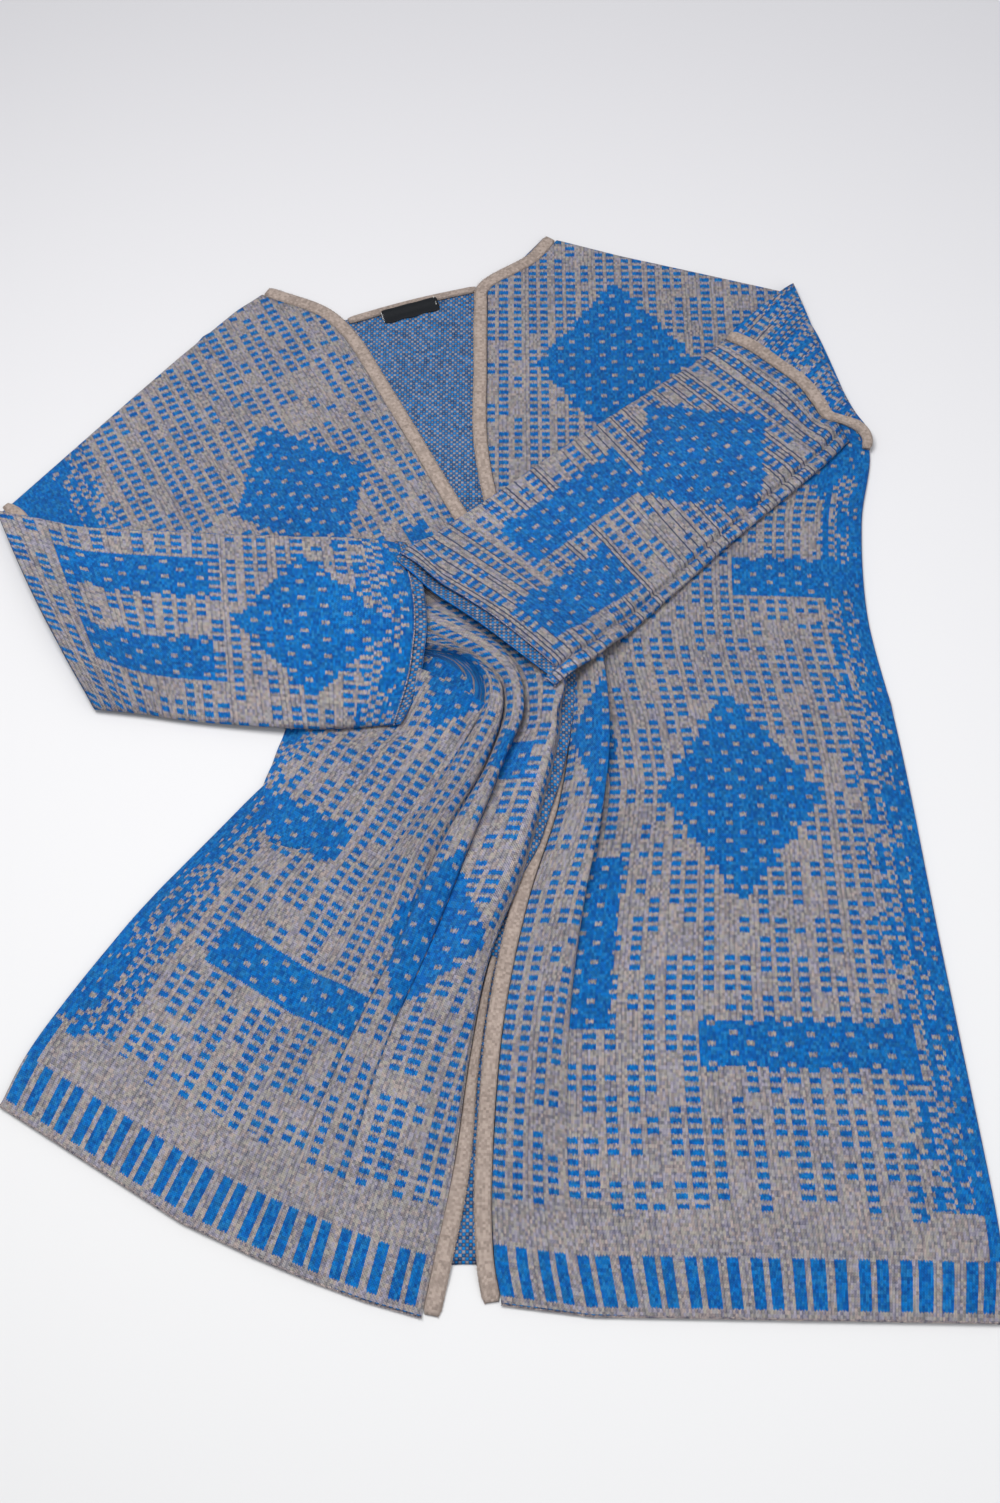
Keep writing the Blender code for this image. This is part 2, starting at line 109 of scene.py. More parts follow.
class Wire:
    # A socket in a material's node tree. Sums of wires add the nodes that work them out.
    def __init__(self, tree, socket=None):
        self.tree = tree
        self.socket = socket

    def node(self, kind, settings=None, sockets=None, output=0):
        made = self.tree.nodes.new(kind)
        for name, value in (settings or {}).items():
            if name != "stops":
                setattr(made, name, value)
                continue
            ramp = made.color_ramp
            ramp.elements.remove(ramp.elements[1])
            ramp.elements[0].position = value[0][0]
            ramp.elements[0].color = value[0][1]
            for place, colour in value[1:]:
                ramp.elements.new(place).color = colour
        for name, value in (sockets or {}).items():
            if isinstance(value, Wire):
                self.tree.links.new(value.socket, made.inputs[name])
            else:
                made.inputs[name].default_value = value
        return Wire(self.tree, made.outputs[output])

    def maths(self, operation, *values):
        return self.node("ShaderNodeMath", {"operation": operation}, dict(enumerate(values)))

    def __add__(self, other):
        return self.maths("ADD", self, other)

    def __radd__(self, other):
        return self.maths("ADD", other, self)

    def __sub__(self, other):
        return self.maths("SUBTRACT", self, other)

    def __rsub__(self, other):
        return self.maths("SUBTRACT", other, self)

    def __mul__(self, other):
        return self.maths("MULTIPLY", self, other)

    def __rmul__(self, other):
        return self.maths("MULTIPLY", other, self)

    def __truediv__(self, other):
        return self.maths("DIVIDE", self, other)

    def __mod__(self, other):
        return self.maths("FLOORED_MODULO", self, other)

    def __gt__(self, other):
        return self.maths("GREATER_THAN", self, other)

    def __lt__(self, other):
        return self.maths("LESS_THAN", self, other)

    def __or__(self, other):
        return self.maths("MAXIMUM", self, other)

    def __and__(self, other):
        return self.maths("MINIMUM", self, other)

    def floor(self):
        return self.maths("FLOOR", self)

    def size(self):
        return self.maths("ABSOLUTE", self)

    def clamp(self):
        return (self | 0.0) & 1.0

    def arch(self):
        # 0 at both ends of each whole step, 1 in its middle.
        return self.maths("SINE", (self % 1.0) * math.pi)

    def chance(self, other, seed):
        # The same chance value, from 0 to 1, for each pair of whole numbers.
        place = self.node("ShaderNodeCombineXYZ", None, {0: self, 1: other, 2: seed})
        return self.node("ShaderNodeTexWhiteNoise", {"noise_dimensions": "3D"}, {"Vector": place})

    def mix(self, first, second):
        # Colour first where the wire is 0, second where it is 1.
        return self.node("ShaderNodeMix", {"data_type": "RGBA"}, {0: self, 6: first, 7: second}, 2)

    def stepped(self, stops):
        # A ramp that doesn't blend from one stop to the next.
        ramp = self.node("ShaderNodeValToRGB", {"stops": stops}, {0: self})
        ramp.socket.node.color_ramp.interpolation = "CONSTANT"
        return ramp


def newMaterial(name, roughness, sheen=0.0):
    material = bpy.data.materials.new(name)
    material.use_nodes = True
    shader = material.node_tree.nodes["Principled BSDF"]
    shader.inputs["Roughness"].default_value = roughness
    shader.inputs["Sheen Weight"].default_value = sheen
    shader.inputs["Specular IOR Level"].default_value = 0.12
    return material, Wire(material.node_tree), shader


def finishMaterial(wire, shader, colour, height, distance):
    wire.tree.links.new(colour.socket, shader.inputs["Base Color"])
    bump = wire.node("ShaderNodeBump", None, {"Strength": 1.0, "Distance": distance, "Height": height})
    wire.tree.links.new(bump.socket, shader.inputs["Normal"])


yarn = {
    # The dark colours are painted shade for the knit's gaps and hollows, partly the yarn seen through them;
    # the light ones are the yarns' own.
    "taupeDark": (0.030, 0.045, 0.105, 1.0),
    "taupeLights": ((0.74, 0.61, 0.55, 1.0), (0.63, 0.59, 0.59, 1.0),
                    (0.67, 0.61, 0.52, 1.0), (0.63, 0.58, 0.69, 1.0)),
    "blueDark": (0.0, 0.030, 0.175, 1.0),
    "blueLights": ((0.001, 0.29, 0.88, 1.0), (0.001, 0.21, 0.76, 1.0), (0.02, 0.32, 0.80, 1.0)),
    "insideDark": (0.004, 0.025, 0.085, 1.0),
    "insideTaupe": (0.31, 0.29, 0.33, 1.0),
    "insideBlue": (0.006, 0.20, 0.56, 1.0),
    "bandDark": (0.14, 0.11, 0.095, 1.0),
    "bandLight": (0.52, 0.42, 0.365, 1.0),
}
jacquard = {
    "repeat": 36.0,                # wales in one repeat of the dash columns
    "columns": ((0, 5), (8, 12), (16, 20), (22, 26), (30, 34)),
    "narrowed": 1.15,              # how much closer the wales lie above the hem
    "cell": 7.2,                   # wales for each dash column
    "pitch": 4.0,                  # courses from one dash row to the next
    "dash": 2.25,                  # courses in a dash
    "edgeRoll": 1.6,               # courses of plain edge at the hem
    "bars": 19.5,                  # courses up to the top of the hem bars
    "plain": 33.0,                 # courses up to the first dashes
    "missing": (0.17, 0.05),       # share of dash pairs, and of dashes, that are left out
    "speckle": (3.0, 2.0),         # wales and courses of one speck of the mottle
    "grain": 0.42,                 # how much one stitch differs from the next
    "patches": 0.20,               # how much one patch of cloth differs from the next
}


def stitchPlace(wire):
    # Exact wales and courses, then each spot's whole wale, and its courses with V-shaped ends.
    uv = wire.node("ShaderNodeUVMap", {"uv_map": "stitches"})
    fray = wire.node("ShaderNodeTexNoise", {"noise_dimensions": "2D"},
                     {"Vector": uv, "Scale": 1.3, "Detail": 1.0}, 1)
    shifted = wire.node("ShaderNodeVectorMath", {"operation": "MULTIPLY_ADD"},
                        {0: fray, 1: (0.7, 0.8, 0.0), 2: uv})
    exact = wire.node("ShaderNodeSeparateXYZ", None, {0: uv})
    frayed = wire.node("ShaderNodeSeparateXYZ", None, {0: shifted})
    courses = Wire(wire.tree, exact.socket.node.outputs[1])
    frayedCourses = Wire(wire.tree, frayed.socket.node.outputs[1])
    leg = ((frayed - 0.35) % 1.0 - 0.5).size() * 1.8
    return uv, exact, courses, (frayed - 0.35).floor() + 0.5, frayedCourses + 0.1 - leg


def knitRelief(wales, courses):
    # Height of the two slanting legs of each stitch, 0 in the gaps between the wales.
    across = (wales % 1.0 - 0.5).size() * 2.0
    fromLeg = ((across - 0.5) * 1.9).size()
    leg = 1.0 - fromLeg.maths("POWER", fromLeg, 2.5)
    return (leg.clamp() * (0.40 + 0.60 * (courses - across).arch())).clamp()


def yarnColour(wales, courses, shadeAndGrain, dark, lights, seed):
    # Heather: each leg of a stitch takes its own shade of the light colour; the mix towards the dark colour
    # is painted shade, with random grain.
    shade = wales.floor().chance((courses / 1.5).floor(), seed)
    light = shade.stepped([(place / len(lights), colour) for place, colour in enumerate(lights)])
    return shadeAndGrain.mix(dark, light)


def jacquardMaterial(name, motifs, border, hem, ribs=0.3, share=0.0, seed=1.0, mottled=27.0):
    # border: the wales between which the cloth lies, None at an end without mottle; mottled: wales of mottle;
    # share: how much of the cloth is speckled blue all over; ribs: depth of the furrows between wale pairs,
    # in the bump and as painted shade.
    material, wire, shader = newMaterial(name, 0.95, 0.04)
    uv, waleExact, courseExact, wales, courses = stitchPlace(wire)
    cell = (wales / jacquard["cell"]).floor()
    row = (courses / jacquard["pitch"]).floor()
    off, on = (0.0, 0.0, 0.0, 1.0), (1.0, 1.0, 1.0, 1.0)
    stops, middles = [], [(0.0, off)]
    for start, end in jacquard["columns"]:
        stops += [(start / jacquard["repeat"], on), (end / jacquard["repeat"], off)]
        middle = math.floor(0.5 * (start + end))
        middles += [((middle - 1) / jacquard["repeat"], on), ((middle + 2) / jacquard["repeat"], off)]
    column = ((wales / jacquard["repeat"]) % 1.0).stepped(stops)
    core = ((wales / jacquard["repeat"]) % 1.0).stepped(middles)
    inRow = (courses % jacquard["pitch"]) < jacquard["dash"]
    pairs, singles = jacquard["missing"]
    kept = (cell.chance((row / 2.0).floor(), seed) > pairs) & (cell.chance(row, seed + 1.0) > singles)
    ground = column & inRow & kept
    odd = ((cell + row) % 2.0) > 0.5
    fleck = core & (1.0 - inRow) & odd

    stepWale = (wales / 2.0).floor() * 2.0 + 1.0
    stepCourse = (courses / 2.0).floor() * 2.0 + 1.0
    shape = None
    for kind, atWale, atCourse, halfWale, halfCourse in motifs:
        across = (stepWale - atWale).size() / halfWale
        along = (stepCourse - atCourse).size() / halfCourse
        inside = (across + along < 1.0) if kind == "diamond" else ((across | along) < 1.0)
        shape = inside if shape is None else (shape | inside)
    blue = ground
    if shape is not None:
        blue = (ground & (1.0 - shape)) | (shape & (1.0 - fleck))

    near = None
    for place, side in zip(border, (1.0, -1.0)):
        if place is not None:
            edge = (wales - place) * side
            near = edge if near is None else (near & edge)
    speckWale = (wales / jacquard["speckle"][0]).floor()
    speckCourse = (courses / jacquard["speckle"][1]).floor()
    rank = (speckWale + speckCourse) % 2.0
    speckle = rank * 0.5 + speckWale.chance(speckCourse, seed + 2.0) * 0.5
    if share > 0.0:
        blue = blue | (speckle < share)
    if near is not None:
        mottle = speckle < (1.0 - near / mottled) * 0.95
        blue = blue | mottle | (near < 1.6)
    if hem:
        start = jacquard["plain"] + cell.chance(cell, seed + 3.0) * 6.0
        blue = blue & (courses > start)
        bars = column & (courses > jacquard["edgeRoll"]) & (courses < jacquard["bars"])
        blue = blue | bars
        if near is not None:
            strip = (near < 4.5) & (courses > jacquard["bars"]) & (courses < jacquard["plain"] + 4.0)
            blue = blue | strip

    # The stitch relief drives the bump and, below, painted shade in the gaps between the legs.
    relief = knitRelief(waleExact, courseExact)
    pairEdge = ((((waleExact % 2.0) - 1.0).size() - 0.60) * 3.4).clamp()
    deep = (waleExact / 2.0 + 0.5).floor().chance(seed, seed + 4.0)
    # Furrows between wale pairs: a dip in the bump and painted shade in the colour.
    furrow = pairEdge * ((deep - 0.2) * 3.0).clamp() * ribs * (1.0 - 0.7 * blue.clamp())
    relief = relief * (1.0 - furrow)
    patch = wire.node("ShaderNodeTexNoise", {"noise_dimensions": "2D"},
                      {"Vector": uv, "Scale": 0.035, "Detail": 2.0})
    grain = waleExact.floor().chance((courseExact * 0.8).floor(), seed + 5.0)
    uneven = (grain - 0.5) * jacquard["grain"] + (patch - 0.5) * jacquard["patches"]
    # Painted shade from the relief and furrows, with the yarn's random grain and patches.
    shadeAndGrain = ((relief * 0.80 + uneven + 0.08).clamp() - furrow * 0.25).clamp()
    taupe = yarnColour(waleExact, courseExact, shadeAndGrain, yarn["taupeDark"], yarn["taupeLights"], seed + 6.0)
    vivid = yarnColour(waleExact, courseExact, shadeAndGrain, yarn["blueDark"], yarn["blueLights"], seed + 7.0)
    colour = blue.clamp().mix(taupe, vivid)
    finishMaterial(wire, shader, colour, relief + blue * 0.12, 0.0009)
    return material


def purlMaterial(name):
    # The jacquard's wrong side: both yarns in alternate stitches.
    material, wire, shader = newMaterial(name, 0.95, 0.1)
    uv, waleExact, courseExact, wales, courses = stitchPlace(wire)
    across, along = waleExact * 0.80, courseExact * 0.80
    turn = (across.floor() + along.floor()) % 2.0 > 0.5
    heather = across.floor().chance(along.floor(), 11.0)
    bead = along.arch() * across.arch()
    # Painted shade: each bead darker towards its edges, mixed with random heather.
    shadeAndGrain = (bead * 0.55 + heather * 0.62).clamp()
    colour = shadeAndGrain.mix(yarn["insideDark"], turn.mix(yarn["insideBlue"], yarn["insideTaupe"]))
    finishMaterial(wire, shader, colour, bead, 0.0007)
    return material


def bandMaterial(name):
    material, wire, shader = newMaterial(name, 0.9, 0.1)
    uv, waleExact, courseExact, wales, courses = stitchPlace(wire)
    relief = knitRelief(waleExact * 1.5, courseExact * 1.5)
    heather = (waleExact * 1.4).floor().chance(courseExact.floor(), 21.0)
    patch = wire.node("ShaderNodeTexNoise", {"noise_dimensions": "2D"},
                      {"Vector": uv, "Scale": 0.08, "Detail": 2.0})
    # Painted shade: the stitch relief darkens the gaps, with random heather and patches.
    shadeAndGrain = (relief * 0.45 + heather * 0.45 + patch * 0.25).clamp()
    colour = shadeAndGrain.mix(yarn["bandDark"], yarn["bandLight"])
    finishMaterial(wire, shader, colour, relief, 0.0003)
    return material


def labelMaterial(name):
    material, wire, shader = newMaterial(name, 0.42, 0.0)
    place = wire.node("ShaderNodeTexCoord", None, None, 3)
    ribs = wire.node("ShaderNodeTexWave", None, {"Vector": place, "Scale": 900.0})
    grain = wire.node("ShaderNodeTexNoise", None, {"Vector": place, "Scale": 700.0})
    # Painted shade: the colour darker between the weave's ribs, with random grain.
    colour = (grain * 0.6 + ribs * 0.4).mix((0.006, 0.007, 0.009, 1.0), (0.022, 0.024, 0.028, 1.0))
    finishMaterial(wire, shader, colour, ribs, 0.0001)
    return material


def tableMaterial(spec):
    # Pale, with painted shade: a little darker towards the far side, where the light falls off, and towards
    # the left, against the key lamp's extra light.
    material, wire, shader = newMaterial("paleTable", 0.75)
    place = wire.node("ShaderNodeTexCoord", None, None, 3)
    split = wire.node("ShaderNodeSeparateXYZ", None, {0: place})
    far = Wire(wire.tree, split.socket.node.outputs[1])
    start, end = spec["fromTo"]
    # Painted shade: darker towards the far side.
    colour = ((far - start) / (end - start)).clamp().mix(spec["near"], spec["far"])
    # Painted shade on the left, evening out the key lamp's extra light there.
    leftPaintedShade = (0.5 - split).clamp() * (1.0 - spec["left"])
    colour = leftPaintedShade.mix(colour, (0.0, 0.0, 0.0, 1.0))
    wire.tree.links.new(colour.socket, shader.inputs["Base Color"])
    return material


# Height map of what has been laid so far

mapSpec = {"low": (-470.0, -500.0), "high": (390.0, 620.0), "cell": 2.0}


def insideOutline(x, y, outline):
    inside = np.zeros(x.shape, dtype=bool)
    for (x1, y1), (x2, y2) in zip(outline, outline[1:] + outline[:1]):
        crosses = (y1 > y) != (y2 > y)
        rise = (y2 - y1) if y2 != y1 else 1.0
        inside ^= crosses & (x < (x2 - x1) * (y - y1) / rise + x1)
    return inside


class Pile:
    def __init__(self, height=None):
        cells = [int((high - low) / mapSpec["cell"]) for low, high in zip(mapSpec["low"], mapSpec["high"])]
        self.height = np.zeros(cells) if height is None else height.copy()

    def copy(self):
        return Pile(self.height)

    def layOutline(self, outline, height):
        axes = [low + mapSpec["cell"] * np.arange(count)
                for low, count in zip(mapSpec["low"], self.height.shape)]
        x, y = np.meshgrid(*axes, indexing="ij")
        covered = insideOutline(x, y, outline)
        self.height[covered] = np.maximum(self.height[covered], height)

    def layGrid(self, top, finer=4):
        for t in np.arange(finer) / finer:
            line = top[:-1] * (1 - t) + top[1:] * t
            for s in np.arange(finer) / finer:
                points = (line[:, :-1] * (1 - s) + line[:, 1:] * s).reshape(-1, 3)
                cells = np.rint((points[:, :2] - mapSpec["low"]) / mapSpec["cell"]).astype(int)
                np.maximum.at(self.height, (cells[:, 0], cells[:, 1]), points[:, 2])

    def under(self, plan, reach):
        # The map as a layer feels it that bridges hollows: the highest spot in reach, evened out.
        cells = max(1, int(round(reach / mapSpec["cell"])))
        felt = self.height
        for axis in (0, 1):
            felt = np.max([np.roll(felt, step, axis) for step in range(-cells, cells + 1)], axis=0)
        half = max(1, cells // 2)
        for axis in (0, 1):
            felt = np.mean([np.roll(felt, step, axis) for step in range(-half, half + 1)], axis=0)
        place = (plan - mapSpec["low"]) / mapSpec["cell"]
        whole = np.floor(place).astype(int)
        s, t = np.moveaxis(place - whole, -1, 0)
        column, row = np.moveaxis(whole, -1, 0)
        low = felt[column, row] * (1 - s) + felt[column + 1, row] * s
        high = felt[column, row + 1] * (1 - s) + felt[column + 1, row + 1] * s
        return low * (1 - t) + high * t


# Curves and sheets

def smoothBetween(stations, perGap):
    # A smooth curve through the stations, with perGap steps from each station to the next.
    points = np.asarray(stations, dtype=float)
    if points.ndim == 1:
        return smoothBetween(points[:, None], perGap)[:, 0]
    ahead = np.vstack([2 * points[:1] - points[1:2], points, 2 * points[-1:] - points[-2:-1]])
    steps = []
    for place in range(len(points) - 1):
        before, start, end, after = ahead[place:place + 4]
        for t in np.arange(perGap) / perGap:
            steps.append(0.5 * ((2 * start) + (end - before) * t
                                + (2 * before - 5 * start + 4 * end - after) * t ** 2
                                + (3 * start - before - 3 * end + after) * t ** 3))
    steps.append(points[-1])
    return np.array(steps)


def easeIn(share):
    share = np.clip(share, 0.0, 1.0)
    return share * share * (3 - 2 * share)


def unevenness(plan, seed, size=1.0):
    # Slow waves, never below 0, so that flat cloth isn't dead flat.
    x, y = plan[..., 0], plan[..., 1]
    total = np.zeros(x.shape)
    for step in range(6):
        turn = seed * 1.7 + step * 2.39996
        length = 46.0 + 23.0 * step
        total += np.sin((x * math.cos(turn) + y * math.sin(turn)) * 2 * math.pi / length + step * seed) / 6
    return size * (1.0 + total)


def softFolds(plan, folds):
    # Low ridges, or hollows where the height is below 0: two ends, half width and height for each.
    total = np.zeros(plan.shape[:-1])
    for start, end, width, height in folds:
        start, end = np.array(start, float), np.array(end, float)
        way = end - start
        t = ((plan - start) @ way) / (way @ way)
        away = np.linalg.norm(plan - (start + np.clip(t, 0, 1)[..., None] * way), axis=-1)
        taper = np.sin(math.pi * np.clip(t * 0.9 + 0.05, 0.0, 1.0)) ** 0.6
        total += height * np.exp(-(away / width) ** 2) * taper
    return total


def inScene(points):
    # Plan places and heights in mm, as places in the scene.
    return ((np.asarray(points, float) - (*planCentre, 0.0)) * millimetre).tolist()


def lengthAlong(line):
    # How far each point of a line is from its start.
    return np.concatenate([[0.0], np.cumsum(np.linalg.norm(np.diff(line, axis=0), axis=1))])


def meshPiece(name, points, faces, stitches, materials):
    # stitches holds the place in the cloth of each corner of each face, in mm.
    mesh = bpy.data.meshes.new(name)
    mesh.from_pydata(inScene(points), [], faces)
    layer = mesh.uv_layers.new(name="stitches")
    layer.data.foreach_set("uv", (stitches / (waleWidth, courseHeight)).ravel())
    for material in materials:
        mesh.materials.append(material)
    mesh.shade_smooth()
    return link(name, mesh)


def sheetMesh(name, islands, materials):
    # One mesh from grids of points: (points in mm, stitches, joined into a ring, turned over).
    vertices, faces, stitches = [], [], []
    for points, uv, ring, turned in islands:
        rows, columns = points.shape[:2]
        number = np.arange(rows * columns).reshape(rows, columns) + len(vertices)
        right = np.concatenate([number[:, 1:], number[:, :1]], axis=1) if ring else number[:, 1:]
        left = number if ring else number[:, :-1]
        quads = np.stack([left[:-1], left[1:], right[1:], right[:-1]], axis=-1)
        uvQuads = np.stack([uv[:-1, :-1], uv[1:, :-1], uv[1:, 1:], uv[:-1, 1:]], axis=2)
        if turned:
            quads, uvQuads = quads[..., ::-1], uvQuads[:, :, ::-1]
        vertices += points.reshape(-1, 3).tolist()
        faces += quads.reshape(-1, 4).tolist()
        stitches.append(uvQuads.reshape(-1, 2))
    return meshPiece(name, vertices, faces, np.concatenate(stitches), materials)


def giveWall(piece, wall, inner=1):
    solid = piece.modifiers.new("wall", "SOLIDIFY")
    solid.thickness = wall * millimetre
    solid.offset = -1.0
    solid.material_offset = inner
    solid.use_even_offset = False


def settle(piece, nodes):
    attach(piece, "root")
    if nodes:
        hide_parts(*nodes)
    print("made", piece.name)


def rollEdge(points, uv, steps):
    # Adds rows beyond the first row: each step is a distance outwards and a drop, down to the table.
    out = points[0, :, :2] - points[3, :, :2]
    out /= np.linalg.norm(out, axis=1)[:, None]
    extra, extraUv, gone = [], [], 0.0
    before = np.zeros(2)
    for away, drop in steps:
        row = points[0].copy()
        row[:, :2] += out * away
        row[:, 2] = np.maximum(row[:, 2] - drop, clothWall + 0.1)
        gone += math.hypot(away - before[0], drop - before[1])
        before = np.array((away, drop))
        extra.insert(0, row)
        extraUv.insert(0, uv[0] + (uv[0] - uv[1]) / np.maximum(
            np.linalg.norm(uv[0] - uv[1], axis=1), 1e-6)[:, None] * gone)
    return np.concatenate([extra, points]), np.concatenate([extraUv, uv])


foldOver = ((1.1, 0.3), (1.9, 1.1), (2.3, 2.3), (2.2, 3.4), (1.6, 4.4))
hemRoll = ((1.0, -0.6), (2.0, -0.6), (2.9, 0.1), (3.3, 1.3), (2.9, 2.5), (2.0, 3.2))


def wrapEdges(points, uv, sides, steps=foldOver):
    # sides names the edges that curl down: top, bottom, left, right.
    turns = {"top": (False, False), "bottom": (True, False), "left": (False, True), "right": (True, True)}
    for side in sides:
        backwards, across = turns[side]
        if across:
            points, uv = points.swapaxes(0, 1), uv.swapaxes(0, 1)
        if backwards:
            points, uv = points[::-1], uv[::-1]
        points, uv = rollEdge(points, uv, steps)
        if backwards:
            points, uv = points[::-1], uv[::-1]
        if across:
            points, uv = points.swapaxes(0, 1), uv.swapaxes(0, 1)
    return points, uv


def withHeight(plan, height):
    return np.concatenate([plan, height[..., None]], axis=-1)


# Fronts

frontShape = {"rowsAGap": 22, "crestRound": 0.7, "mostPinch": 0.7, "reach": 16.0}
rightFront = {
    # Fold lines: mesh columns up to the next, where the crest stands between the two, plan places.
    "lines": {
        "side": (34, 0.70, ((-420, 238), (-392, 180), (-331, 66), (-240, 42), (-185, 32), (-150, 13),
                            (-200, -54), (-262, -133), (-291, -176), (-320, -223), (-341, -262),
                            (-354, -298))),
        "flap": (18, 0.50, ((-352, 326), (-300, 262), (-225, 190), (-100, 108), (-32, 84), (-13, 44),
                            (-44, -25), (-92, -108), (-122, -170), (-160, -248), (-190, -315),
                            (-219, -383))),
        "innerRoll": (18, 0.50, ((-318, 370), (-262, 308), (-185, 232), (-95, 135), (-14, 74),
                                 (2, 38), (-12, -19), (-46, -88), (-74, -165), (-112, -255),
                                 (-141, -330), (-168, -407))),
        "outerRoll": (18, 0.72, ((-285, 412), (-226, 352), (-148, 270), (-88, 160), (-2, 91),
                                 (17, 36), (3, -14), (-24, -92), (-50, -168), (-84, -258),
                                 (-105, -340), (-125, -425))),
        "pleat": (12, 0.50, ((-240, 466), (-172, 425), (-108, 330), (-35, 195), (46, 76), (45, 22),
                             (41, -12), (17, -104), (-14, -178), (-45, -256), (-68, -345),
                             (-90, -438))),
        "frontEdge": (0, 0.50, None),
    },
    # How high each line, and the crest after it, lies at each place: 0 where nothing is given.
    "rise": {
        "side": (0, 0, 0, 1, 2, 0, 0, 0, 0, 0, 0, 0),
        "flap": (0, 0, 1, 1, 0, 0, 0, 0, 0, 0, 0, 0),
        "innerRoll": (0, 0, 1, 1, 1, 1, 1, 1, 0, 0, 0, 0),
        "outerRoll": (0, 0, 1, 1, 1, 1, 1, 1, 0, 0, 0, 0),
        "pleat": (0, 0, 0, 3, 10, 12, 13, 11, 7, 3, 1, 0),
    },
    "crest": {
        "side": (0, 1, 3, 4, 0, 0, 2, 4, 3, 2, 1, 0),
        "flap": (0, 0, 2, 9, 14, 15, 13, 8, 4, 2, 0, 0),
        "innerRoll": (0, 0, 2, 9, 14, 15, 14, 10, 6, 3, 1, 0),
        "outerRoll": (0, 0, 1, 2, 5, 6, 6, 6, 5, 3, 1, 0),
    },
    # How far each crest leans towards the next line.
    "lean": {
        "flap": (0, 0, 0, 2, 4, 4, 3, 2, 0, 0, 0, 0),
        "innerRoll": (0, 0, 0, 2, 5, 6, 5, 3, 1, 0, 0, 0),
        "outerRoll": (0, 0, 0, 0, 3, 3, 2, 1, 0, 0, 0, 0),
    },
    "hidden": {"side": "end", "flap": "both", "innerRoll": "both", "outerRoll": "start", "pleat": "end"},
    # Above the sleeves: a place, its wale and course distances, and the way across the wales.
    "upper": ((-100, 357), 338.0, 855.0, (0.888, 0.459)),
    "hiddenLine": ((-430, 135), (-105, 150), (-80, 205), (70, 80)),
}
leftFront = {
    "lines": {
        "frontEdge": (22, 0.70, None),
        "roll": (58, 0.50, ((110, 537), (98, 512), (82, 488), (80, 458), (80, 392), (80, 306),
                            (82, 218), (82, 108), (82, 24), (77, -46), (62, -145), (51, -240),
                            (50, -345), (55, -405), (62, -448))),
        "side": (0, 0.50, ((258, 492), (270, 472), (280, 452), (288, 428), (303, 368), (318, 306),
                           (304, 226), (300, 130), (311, 38), (317, -30), (325, -150), (332, -245),
                           (341, -365), (342, -412), (336, -453))),
    },
    "rise": {},
    "crest": {
        "frontEdge": (0, 0, 0, 0, 0, 0, 1, 7, 13, 13, 10, 6, 2, 0, 0),
        "roll": (0, 0, 0, 0, 0, 0, 0, 1, 1, 1, 1, 0, 0, 0, 0),
    },
    "lean": {"frontEdge": (0, 0, 0, 0, 0, 0, 0, 4, 8, 8, 5, 2, 0, 0, 0)},
    "hidden": {"frontEdge": "end", "roll": "start"},
    "upper": ((-1, 226), 0.0, 681.0, (1.0, 0.0)),
    "hiddenLine": ((-60, 78), (256, 370), (340, 400)),
}
softFront = {
    # Low folds: start, end, half width, height.
    "right": (((-165, 321), (-80, 236), 5, 2.6), ((-226, 366), (-160, 232), 9, 2.2),
              ((-300, 330), (-262, 250), 8, 1.8), ((-250, -120), (-210, -300), 12, 1.8),
              ((-330, 300), (-300, 240), 5, 1.5)),
    "left": (((150, 60), (178, -300), 14, 1.8), ((230, 20), (262, -330), 13, 1.6),
             ((110, 480), (180, 420), 10, 1.8), ((270, 130), (284, -60), 7, 1.6)),
}
frontBands = {
    # Middle of the band and its width at each station, 0 where the pleat hides it.
    "left": ((47, 561, 12), (27, 533, 12), (-13, 502, 12), (-17.5, 472, 12), (-17.5, 400, 12),
             (-16.5, 312, 12), (-1, 226, 12), (40, 112, 12), (49, 28, 12), (40, -48, 12),
             (14.5, -138, 12), (-3.6, -236, 12), (-11.4, -345, 12), (-10.5, -408, 12), (-5.5, -441, 12)),
    "right": ((-213, 494, 12), (-147, 456, 12), (-93, 357, 12), (-20, 206, 12), (47, 84, 0), (51.5, 38, 0),
              (44, -14, 0), (20, -108, 0), (-4.6, -182, 4), (-18.2, -262, 7), (-27.7, -352, 11.4),
              (-46.5, -450, 12)),
    "wall": 2.6,
    "reach": 12.0,
}


def crestShape(t, crestAt):
    bent = t ** (math.log(0.5) / math.log(crestAt))
    return np.sin(math.pi * bent) ** frontShape["crestRound"]


def bandLine(centre, share, clear=0.0):
    # A line along a band, at a share of its width to the side of its middle and clear of it by some mm.
    path = smoothBetween(centre, frontShape["rowsAGap"])
    along = np.gradient(path[:, :2], axis=0)
    along /= np.linalg.norm(along, axis=1)[:, None]
    side = np.stack([along[:, 1], -along[:, 0]], axis=1)
    return path[:, :2] + side * (share * path[:, 2:3] + clear)


def spreadStitches(arc, cloth, where, tucked):
    # Wale distances over a stretch of arc that has more cloth than shows: the rest is in its creases.
    total = arc[:, -1:]
    shown = arc * np.clip(cloth[:, None] / np.maximum(total, 1e-6), 0.0, jacquard["narrowed"])
    spare = np.maximum(cloth[:, None] - shown[:, -1:], 0.0)
    t = arc / np.maximum(total, 1e-6)
    start = easeIn(t / tucked)
    end = easeIn((t - 1 + tucked) / tucked)
    tuck = {"start": start, "end": end, "both": 0.5 * (start + end)}[where]
    return shown + spare * tuck


